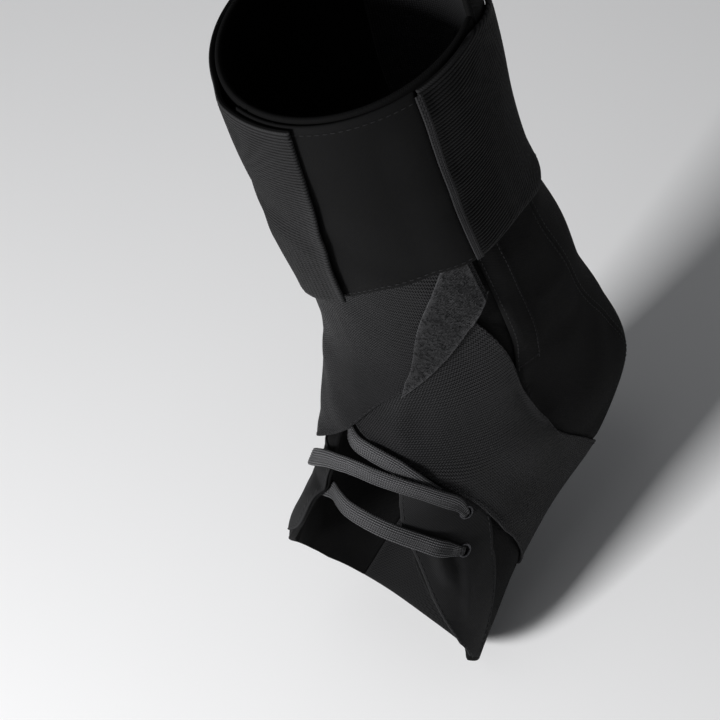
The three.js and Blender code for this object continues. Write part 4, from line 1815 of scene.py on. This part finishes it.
@dataclass
class StayPockets(Assembly):
    """Flat pockets up both sides, each with a stay inside that ends in a low bump.

    Attributes:
        thick: Thickness of a pocket.
        front: Angle of its front edge.
        back: Angle of its back edge.
        foot: Height of its lower end.
        head: Height of its upper end, under the cuff.
    """

    thick: float = 1.3
    front: float = 76.5
    back: float = 89.5
    foot: float = 33.0
    head: float = 150.0

    def edges(self, side: int) -> np.ndarray:
        """Lay out the pocket on a side.

        Args:
            side: 1 for the near side and -1 for the far side.

        Returns:
            Rows of station and angle of both edges.
        """
        count = 15
        top = FORM.station_at(self.head)
        low = FORM.station_at(self.foot, 90.0, float(FORM.last))
        rows = []
        for station in np.linspace(top, low, count):
            a, b = (self.front, self.back) if side > 0 else (-self.back, -self.front)
            rows.append([station, a, station, b])
        return np.array(rows)

    def _stay(self, side: int) -> Field:
        """Work out how the stay shows through its pocket.

        Args:
            side: 1 for the near side and -1 for the far side.

        Returns:
            Its rise.
        """
        bump = Fold(((3.35, side * 79), (3.6, side * 79), (4.0, side * 79.5), (4.3, side * 80)), 1.5, 3.4)
        strip = Fold(((0.9, side * 83), (2.2, side * 83), (3.2, side * 83), (3.5, side * 82)), 0.35, 3.4)
        return sum_of([bump, strip])

    def build(self, lift: Field) -> None:
        """Make both pockets with their stitches.

        Args:
            lift: Lift over what lies under them.
        """
        lines = []
        inset, end_inset, margin = 0.9, 1.0, 1.2
        for side, key in ((1, "near"), (-1, "far")):
            panel = Panel(
                f"{key}_pocket_cloth",
                self.edges(side),
                lift,
                self.thick,
                TWILL,
                folds=self.shop.layering.crease(),
                emboss=self._stay(side),
                cell=(1.0, 0.7),
            )
            self.shop.keep(panel.build(), f"stay_pocket_{key}", f"stay_pocket_{key}")
            lines += [panel.trace(inset, second=side > 0), panel.trace(inset, second=side < 0)]
            lines.append(panel.trace_across(end_inset, tail=True, margin=margin))
        self.shop.sew("pocket_stitches", "stay_pocket_near", lines, pitch=2.1, length=1.6, thread=0.3)


# Straps


@dataclass
class Straps(Assembly):
    """The two woven straps that cross over the instep, and the pile at the upper one's end.

    Attributes:
        thick: Thickness of a strap.
        pile_thick: Thickness of the pile's backing.
        course: Station and angle of a strap's lower and upper edge, from the sole to the cuff, and
            how much further down the upper strap's lower edge runs.
        pile: The same for the band of pile.
        lower_folds: Folds of the lower strap.
        upper_folds: Folds of the upper strap.
    """

    thick: float = 1.15
    pile_thick: float = 0.45
    course: tuple[tuple[float, float, float, float, float], ...] = (
        (9.9, -152, 8.2, -150, 0),
        (9.75, -130, 7.75, -118, 0),
        (9.4, -108, 7.1, -93, 0),
        (9.0, -91, 6.2, -84, 0),
        (8.5, -73, 5.2, -78.5, 0.1),
        (7.9, -57, 4.3, -74, 0.45),
        (7.2, -40, 3.5, -66, 0.75),
        (6.5, -22, 2.95, -50, 0.8),
        (5.9, -2, 2.5, -27, 0.3),
        (5.1, 12, 2.1, -3, 0),
        (4.5, 26, 1.8, 17, 0),
        (3.95, 41, 1.6, 37, 0),
        (3.5, 58, 1.5, 57, 0),
        (3.1, 74, 1.5, 74, 0),
    )
    pile: tuple[tuple[float, float, float, float, float], ...] = (
        (4.6, 25.5, 4.25, 27, 0),
        (4.12, 37.5, 3.42, 37.5, 0),
        (3.76, 49, 2.9, 49, 0),
        (3.4, 62, 2.5, 60.5, 0),
        (3.12, 72, 2.1, 71.5, 0),
    )
    lower_folds: tuple[Fold, ...] = (
        Fold(((4.4, 27), (4.9, 24), (5.6, 23), (6.2, 27), (6.8, 32)), 0.7, 3.4),
        Fold(((4.7, 33), (5.4, 32), (6.2, 37)), -0.55, 4.0),
        Fold(((5.0, 52), (5.9, 54), (6.9, 62)), -0.6, 6.0),
    )
    upper_folds: tuple[Fold, ...] = (
        Fold(((2.7, 8), (3.5, 3), (4.4, -3), (5.2, -8)), 0.35, 5.0),
        Fold(((2.9, 24), (3.6, 18), (4.3, 12)), -0.3, 4.0),
        Fold(((4.6, -44), (5.4, -39), (6.2, -35), (7.0, -31), (7.8, -24)), 3.0, 15.0),
    )

    @staticmethod
    def rows(table: Sequence[tuple[float, float, float, float, float]], side: int) -> np.ndarray:
        """Lay out a strap.

        Args:
            table: Its course.
            side: 1 for the upper strap and -1 for the lower one, which mirrors it.

        Returns:
            Rows of station and angle of both edges.
        """
        out = []
        for foot, foot_angle, head, head_angle, drop in table:
            low = [foot + (drop if side > 0 else 0), side * foot_angle]
            high = [head, side * head_angle]
            out.append([*low, *high] if side > 0 else [*high, *low])
        return np.array(out)

    def build(self) -> None:
        """Make the straps and the pile, each over what lies under it."""
        layering = self.shop.layering
        lines = []
        inset = 1.4
        for name, node, side, folds in (
            ("lower_strap_web", "strap_lower", -1, self.lower_folds),
            ("upper_strap_web", "strap_upper", 1, self.upper_folds),
        ):
            edges = self.rows(self.course, side)
            creases = layering.crease(*folds)
            lift = layering.lift()
            panel = Panel(name, edges, lift, self.thick, WEBBING, folds=creases, cell=(1.5, 1.5), reach=0.9)
            piece = self.shop.keep(panel.build(), node, node)
            layering.lay((edges, self.thick))
            lines += [panel.trace(inset), panel.trace(inset, second=True)]
        self.shop.sew("strap_edge_stitches", "strap_upper", lines, pitch=2.6, length=2.0, thread=0.28)
        edges = self.rows(self.pile, 1)
        lift, creases = layering.lift(), layering.crease()
        band = Panel("pile_band", edges, lift, self.pile_thick, PILE, folds=creases, cell=(0.9, 0.9))
        piece = self.shop.pile.grow(band.build(), "pile_band", Finish=PILE.material(), Seed=11)
        self.shop.keep(piece, "strap_pile", "strap_pile")
        layering.lay((edges, self.pile_thick))


# Cuff


@dataclass
class Cuff(Assembly):
    """The wrap cuff: a smooth panel between two ribbed elastic wings.

    Attributes:
        foot: Height that the hem's drops are measured from.
        panel_thick: Thickness of the smooth panel.
        elastic_thick: Thickness of an elastic wing with its ribs.
        rib_room: Share of that thickness that is left to the ribs, in millimetres.
        seam_thick: Thickness of the seam tape.
        seam_width: Width of the seam tape.
        seam_reach: Shift of the tape's lower and upper end, in stations.
        panel_gap: Gap between the smooth panel and the near wing.
        near_seam: Angle of the seam between them.
        lap_top: Angle of the far wing's free edge at the rim.
        lap_foot: Angle of that edge at the hem.
        underlap: How far the smooth panel runs under the far wing, in degrees.
        back: Angle at which both wings end behind.
        arc: Largest angle between two rows.
        hem: Angle, and drop of the lower edge as a share of the cuff's height.
        rim: Angle, and drop of the upper edge in the same way.
        lap: How the far wing stands off along its free edge.
    """

    foot: float = 95.5
    panel_thick: float = 1.8
    elastic_thick: float = 2.2
    rib_room: float = 0.3
    seam_thick: float = 0.6
    seam_width: float = 2.1
    seam_reach: tuple[float, float] = (-0.03, 0.015)
    panel_gap: float = 0.5
    near_seam: float = 77.0
    lap_top: float = 25.0
    lap_foot: float = 17.0
    underlap: float = 22.0
    back: float = 150.0
    arc: float = 8.5
    hem: tuple[tuple[float, float], ...] = (
        (-150, 0.19),
        (-119, 0.22),
        (-90, 0.3),
        (-55, 0.36),
        (-26, 0.34),
        (-4, 0.243),
        (17, 0.12),
        (33, 0.035),
        (60, 0),
        (88, 0.01),
        (101, 0.03),
        (118, 0.1),
        (130, 0.163),
        (150, 0.2),
    )
    rim: tuple[tuple[float, float], ...] = (
        (-150, 0.15),
        (-128, 0.07),
        (-112, 0),
        (112, 0),
        (128, 0.07),
        (150, 0.15),
    )
    lap: Fold = Fold(((0.9, 24), (1.6, 22), (2.6, 19), (3.5, 16)), 1.3, 3.2)

    def _station(self, table: tuple[tuple[float, float], ...], height: float, angle: float) -> float:
        """Station of an edge at an angle, from a table of drops below a height."""
        drop = float(np.interp(angle, [a for a, _ in table], [d for _, d in table]))
        return FORM.station_at(height - drop * (FORM.cuff_top - self.foot))

    def edges(self, first: float, last: float, last_head: float | None = None) -> np.ndarray:
        """Lay out a piece from the hem up to the rim, going round.

        Args:
            first: Angle of the first row.
            last: Angle of the last row at the hem.
            last_head: Angle of the last row at the rim, if another.

        Returns:
            Rows of station and angle of both edges.
        """
        last_head = last if last_head is None else last_head
        count = math.ceil((last - first) / self.arc)
        rows = []
        for i in range(count + 1):
            angle = first + (last - first) * i / count
            head_angle = first + (last_head - first) * i / count
            foot = self._station(self.hem, self.foot, angle)
            rows.append([foot, angle, self._station(self.rim, FORM.cuff_top, head_angle), head_angle])
        return np.array(rows)

    def _band(self, name: str, node: str, edges: np.ndarray, lift: Field, folds: Field) -> Panel:
        """Make a ribbed elastic wing.

        Args:
            name: The piece's name.
            node: Solid that it stands for.
            edges: Rows of station and angle of both edges.
            lift: Lift over what lies under it.
            folds: Its folds.

        Returns:
            The panel under the ribs.
        """
        thick = self.elastic_thick - self.rib_room
        panel = Panel(name, edges, lift, thick, ELASTIC, folds=folds, cell=(1.8, 0.32), reach=1.0)
        piece = self.shop.ribs.grow(panel.build(), name, Finish=ELASTIC.material())
        self.shop.keep(piece, node, node)
        return panel

    def build(self) -> None:
        """Make the cuff, its seam and its stitches."""
        layering = self.shop.layering
        half = self.panel_gap / FORM.per_degree / 2
        slack = layering.crease(Slack(0.25, 40.0, 21))
        smooth_edges = self.edges(self.lap_foot - self.underlap, self.near_seam - half)
        near_edges = self.edges(self.near_seam + half, self.back)
        lift = layering.lift()
        name, thick = "smooth_panel_cloth", self.panel_thick
        smooth = Panel(name, smooth_edges, lift, thick, SMOOTH, folds=slack, cell=(1.2, 1.2))
        piece = self.shop.keep(smooth.build(), "cuff_panel", "cuff_panel")
        near = self._band("near_elastic_band", "cuff_near_elastic", near_edges, lift, slack)
        layering.lay((smooth_edges, self.panel_thick), (near_edges, self.elastic_thick))
        lift = layering.lift()
        spread_angle = self.seam_width / 2 / FORM.per_degree
        seam_edges = self.edges(self.near_seam - spread_angle, self.near_seam + spread_angle)
        seam_edges[:, 0] += self.seam_reach[0]
        seam_edges[:, 2] += self.seam_reach[1]
        far_edges = self.edges(-self.back, self.lap_foot, self.lap_top)
        seam = Panel("cuff_seam_tape", seam_edges, lift, self.seam_thick, TAPE, folds=slack, cell=(0.4, 0.7))
        self.shop.keep(seam.build(), "cuff_seam", "cuff_seam")
        lapped = sum_of([slack, self.lap])
        far = self._band("far_elastic_band", "cuff_far_elastic", far_edges, lift, lapped)
        inset, hidden_share = 2.0, 0.25
        lines = [smooth.trace(inset, second=second, start=hidden_share) for second in (True, False)]
        for wing in (near, far):
            lines += [wing.trace(inset), wing.trace(inset, second=True)]
        self.shop.sew("cuff_stitches", "cuff_panel", lines, pitch=2.3, length=1.7, thread=0.32)


@dataclass
class BackLining(Assembly):
    """The padded strip inside the back, above and behind the cuff.

    Attributes:
        thick: Thickness of the pad.
        gap: Clearance to the back's cloth.
        head: Station of its upper end.
        foot: Station of its lower end.
        edge_angle: Angle of its near edge.
    """

    thick: float = 2.2
    gap: float = 0.4
    head: float = 0.08
    foot: float = 3.2
    edge_angle: float = 131.0
    fill: float = 0.5

    def build(self) -> None:
        """Make the lining."""
        a = self.edge_angle
        edges = PATTERN.edges(self.head, self.foot, lambda s: a, lambda s: 360 - a)
        panel = Panel("back_lining_pad", edges, -self.thick - self.gap, self.thick, LINING)
        piece = self.shop.keep(panel.build(), "back_lining", "back_lining")


# Lace


@dataclass
class Lace(Assembly):
    """The flat braided lace: three strands across the instep.

    Attributes:
        thick: Thickness of the lace.
        width: Width of the lace.
        end_width: Its width where it is gathered in an eyelet.
        facing: Thickness of the facings that it lies on.
        strap_room: Height that a strap takes up under it.
        gap: Clearance to what it lies on.
        ribs: Lengthwise ribs of the braid.
        rib_height: Height of the ribs.
        plait: Height of the slanting yarns on the ribs.
        plait_pitch: Distance between the slanting yarns.
    """

    thick: float = 1.1
    width: float = 6.2
    end_width: float = 2.6
    facing: float = 0.9
    strap_room: float = 1.3
    gap: float = 0.4
    ribs: int = 7
    rib_height: float = 0.2
    plait: float = 0.06
    plait_pitch: float = 1.5

    def strands(self) -> dict[str, list[tuple[float, float, float, float]]]:
        """Lay out each strand, as the solids have it.

        Returns:
            Rows of station, angle, lift and width, by the strand's name.
        """
        w = self.width
        top = WALL + self.facing + self.gap
        strap = top + self.strap_room + self.gap
        over = strap + self.thick + self.gap / 2
        under = -self.thick - self.gap
        hole = WALL / 4
        (near, low_near), (far, _) = EYELETS["near"], EYELETS["far"]
        return {
            "lace_upper": [
                (6.6, -26, under, w),
                (6.48, -18, under, w),
                (6.4, -10, under - 0.2, w),
                (6.37, -3, 0.5, w),
                (6.42, 5, 3.0, w),
                (6.48, 14, 4.4, w),
                (6.7, 24, strap - 0.5, w),
                (7, 31, strap - 0.5, w),
                (7.33, 37.5, strap - 0.6, w),
                (7.62, 43.5, strap - 0.6, w),
            ],
            "lace_middle": [
                (*far, hole, self.end_width),
                (far[0] - 0.04, far[1] + 1.6, top + 0.6, 3.2),
                (far[0] - 0.12, far[1] + 9, top + 1.3, w),
                (9, -44, top + 1.6, w),
                (8.6, -32, top + 1.4, w),
                (7.7, -13, top + 1.3, w),
                (7.3, 0, top + 1.3, w),
                (7.15, 9, top + 1.8, w),
                (7.15, 17, over - 0.7, w),
                (7.22, 26, over - 0.3, w),
                (7.38, 35, over - 0.1, w),
                (7.6, 43, over - 0.3, w),
                (7.9, 51, strap, w),
                (8.2, 57.5, top + 0.8, 4.2),
                (near[0] - 0.03, near[1] - 1.5, top + 0.3, 3),
                (*near, hole, self.end_width),
            ],
            "lace_lower": [
                (9.5, -30, under, w),
                (9.25, -19, under, w),
                (9.12, -10, -0.9, w),
                (9.05, -1, 1.3, w),
                (9.1, 8, 3, w),
                (9.18, 18, top + 0.2, w),
                (9.3, 32, top + 0.2, w),
                (9.38, 48, top + 0.1, w),
                (9.42, 60, top + 0.1, w),
                (low_near[0], low_near[1] - 3, top + 0.2, 3.4),
                (*low_near, hole, self.end_width),
            ],
        }

    def _strand(self, name: str, rows: np.ndarray) -> bpy.types.Object:
        """One strand with its ribs.

        Args:
            name: The strand's name.
            rows: Station, angle, lift and width along it.

        Returns:
            Its object.
        """
        samples, step, rib_columns = 800, 0.45, 6
        edge_power, rib_power, rib_wear_and_highlight_share = 5, 0.6, 0.3
        fine = np.linspace(0, len(rows) - 1, samples)
        ground = self.shop.layering.creases[0]
        path = smooth_rows(rows, fine)
        line = FORM.over(path[:, 0], path[:, 1], path[:, 2])
        run = np.concatenate([[0], np.cumsum(np.linalg.norm(np.diff(line, axis=0), axis=1))])
        along = np.linspace(0, run[-1], round(run[-1] / step))
        path = smooth_rows(rows, np.interp(along, run, fine))
        middle = FORM.over(path[:, 0], path[:, 1], path[:, 2] + ground(path[:, 0], path[:, 1]))
        ahead = unit(np.gradient(middle, axis=0))
        normal = FORM.normal(path[:, 0], path[:, 1])
        sideways = unit(np.cross(ahead, normal))
        upward = unit(np.cross(sideways, ahead))
        share = np.linspace(0, 1, self.ribs * rib_columns + 1)
        edge = np.sqrt(np.maximum(1 - np.abs(2 * share - 1) ** edge_power, 0))
        rib = np.abs(np.sin(np.pi * share * self.ribs)) ** rib_power
        turn = along[:, None] / self.plait_pitch + (np.floor(share * self.ribs) % 2) / 2
        plait = self.plait * np.cos(2 * np.pi * turn)
        low, high = [], []
        for k, (m, s, u, w) in enumerate(zip(middle, sideways, upward, path[:, 3])):
            x = (0.5 - share) * w
            thick = self.thick * edge / 2
            crown = thick + edge * (self.rib_height * rib + plait[k] * rib)
            centre = m + u * self.thick / 2
            high.append(centre + x[:, None] * s + crown[:, None] * u)
            low.append(centre + x[:, None] * s - thick[:, None] * u)
        high, low = np.array(high), np.array(low)
        points = np.vstack([high.reshape(-1, 3), low.reshape(-1, 3)])
        count_r, cols = high.shape[:2]
        ids = np.arange(count_r * cols).reshape(count_r, cols)
        under = ids + count_r * cols
        under[:, 0], under[:, -1] = ids[:, 0], ids[:, -1]
        caps = []
        for j in range(cols - 1):
            caps.append([ids[0, j], ids[0, j + 1], under[0, j + 1], under[0, j]])
            caps.append([ids[-1, j], under[-1, j], under[-1, j + 1], ids[-1, j + 1]])
        faces = [*grid_faces(ids), *grid_faces(under, turned=True), *caps]
        quads = [list(dict.fromkeys(int(v) for v in f)) for f in faces]
        flat_x, flat_y = np.broadcast_arrays(share * self.width, along[:, None])
        flat = np.stack([flat_x.ravel(), flat_y.ravel()], -1)
        # Painted highlight with rubbed wear on the braid's rib tops: the crest and wear attributes lighten
        # them.
        crest = np.concatenate([np.tile(rib**2 * edge, count_r), np.zeros(count_r * cols)])
        facts = {"wear": crest * rib_wear_and_highlight_share, "crest": crest}
        return mesh_object(name, points, quads, BRAID, np.vstack([flat, flat]), facts)

    def build(self) -> None:
        """Make the strands."""
        for name, rows in self.strands().items():
            piece = self._strand(f"{name}_braid", np.array(rows, float))
            clean(piece)
            self.shop.keep(piece, name, name)


def clean(piece: bpy.types.Object) -> None:
    """Remove loose points of a mesh and let its faces point outwards.

    Args:
        piece: The piece.
    """
    bm = bmesh.new()
    bm.from_mesh(piece.data)
    bmesh.ops.delete(bm, geom=[v for v in bm.verts if not v.link_faces], context="VERTS")
    bmesh.ops.recalc_face_normals(bm, faces=bm.faces[:])
    bm.to_mesh(piece.data)
    bm.free()


# Studio


@dataclass(frozen=True)
class Studio:
    """Floor, lights and the camera at the photograph's angle.

    Attributes:
        azimuth: Where the camera stands round the part, in degrees.
        elevation: How far above the floor it looks from, in degrees.
        roll: Turn of the camera about its own line of sight.
        distance: From the origin to the camera, in millimetres.
        focal: Focal length in pixels of the frame.
        centre: The origin's place in the frame, in pixels.
        size: Side of the frame in pixels.
        reach: Half of the floor's side, in metres.
        aim: What the lights point at, in metres.
        key: Place of the key light to the right, up and back of aim as the camera sees it, in metres.
        key_size: Side of the key light in metres.
        key_power: Power of the key light in watts.
        fill: Place of the fill light in metres.
        fill_size: Side of the fill light in metres.
        fill_power: Power of the fill light in watts.
        sky: Colour of the surroundings.
        sky_strength: Strength of the surroundings.
    """

    azimuth: float = 61.1
    elevation: float = 50.4
    roll: float = 21.9
    distance: float = 847.0
    focal: float = 2461.6
    centre: tuple[float, float] = (480.3, 351.9)
    size: float = 720.0
    reach: float = 6.0
    aim: tuple[float, float, float] = (0.0, 0.0, 0.03)
    key: tuple[float, float, float] = (-0.92, -0.5, 0.78)
    key_size: float = 0.3
    key_power: float = 26.0
    fill: tuple[float, float, float] = (0.0, -0.2, 1.7)
    fill_size: float = 1.2
    fill_power: float = 1.6
    sky: tuple[float, float, float, float] = (0.95, 0.97, 1.0, 1.0)
    sky_strength: float = 0.12

    def axes(self) -> tuple[Vector, Vector, Vector]:
        """Work out how the camera stands.

        Returns:
            Directions to its right, up and back.
        """
        a, e, r = (math.radians(v) for v in (self.azimuth, self.elevation, self.roll))
        back = Vector((math.sin(a) * math.cos(e), -math.cos(a) * math.cos(e), math.sin(e)))
        right = Vector((math.cos(a), math.sin(a), 0.0))
        up = back.cross(right)
        return (
            math.cos(r) * right - math.sin(r) * up,
            math.sin(r) * right + math.cos(r) * up,
            back,
        )

    def camera(self) -> bpy.types.Object:
        """Stand the camera where the photograph was taken from.

        Returns:
            The camera.
        """
        right, up, back = self.axes()
        data = bpy.data.cameras.new("camera")
        data.sensor_width = 36.0
        data.lens = self.focal / self.size * data.sensor_width
        data.shift_x = -(self.centre[0] - self.size / 2) / self.size
        data.shift_y = (self.centre[1] - self.size / 2) / self.size
        data.clip_start, data.clip_end = 0.01, 50.0
        made = bpy.data.objects.new("camera", data)
        turn = Matrix((right, up, back)).transposed().to_4x4()
        made.matrix_world = Matrix.Translation(back * self.distance * MM) @ turn
        bpy.context.scene.collection.objects.link(made)
        bpy.context.scene.camera = made
        return made

    def light(self, name: str, place: Vector, size: float, power: float) -> None:
        """Add a square area light.

        Args:
            name: Its name.
            place: Where it is, in metres.
            size: Its side in metres.
            power: Its power in watts.
        """
        data = bpy.data.lights.new(name, "AREA")
        data.shape, data.size, data.energy = "SQUARE", size, power
        made = bpy.data.objects.new(name, data)
        made.rotation_mode = "QUATERNION"
        made.location = place
        made.rotation_quaternion = (Vector(self.aim) - place).to_track_quat("-Z", "Y")
        bpy.context.scene.collection.objects.link(made)

    def build(self, floor_z: float) -> None:
        """Lay the floor, set the lights and stand the camera.

        Args:
            floor_z: Height of the floor in metres.
        """
        mesh = bpy.data.meshes.new("floor")
        corners = [(-1, -1), (1, -1), (1, 1), (-1, 1)]
        points = [(x * self.reach, y * self.reach, floor_z) for x, y in corners]
        mesh.from_pydata(points, [], [(0, 1, 2, 3)])
        floor = bpy.data.objects.new("floor", mesh)
        bpy.context.scene.collection.objects.link(floor)
        mesh.materials.append(PAPER.material())
        floor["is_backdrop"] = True
        place = sum((way * far for way, far in zip(self.axes(), self.key)), Vector(self.aim))
        self.light("key", place, self.key_size, self.key_power)
        self.light("fill", Vector(self.fill), self.fill_size, self.fill_power)
        world = bpy.data.worlds.new("studio")
        world.use_nodes = True
        sky = world.node_tree.nodes["Background"]
        sky.inputs["Color"].default_value = self.sky
        sky.inputs["Strength"].default_value = self.sky_strength
        bpy.context.scene.world = world
        bpy.context.scene.view_settings.view_transform = "Standard"
        self.camera()


def main() -> None:
    """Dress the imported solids, piece by piece, and set the studio."""
    logging.basicConfig(level=logging.INFO, format="%(message)s")
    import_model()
    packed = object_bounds()
    shop = Workshop(StitchTree(), RibTree(), PileTree())
    Boot(shop).build()
    lift = shop.layering.lift()
    facings, pockets = LaceFacings(shop), StayPockets(shop)
    facings.build(lift)
    pockets.build(lift)
    shop.layering.lay(
        (facings.edges(1), facings.thick),
        (facings.edges(-1), facings.thick),
        (pockets.edges(1), pockets.thick),
        (pockets.edges(-1), pockets.thick),
    )
    Straps(shop).build()
    Cuff(shop).build()
    BackLining(shop).build()
    Lace(shop).build()
    Studio().build(packed[0].z - 0.001)
    LOG.info("%d pieces", len(shop.made))


if __name__ == "__main__":
    main()
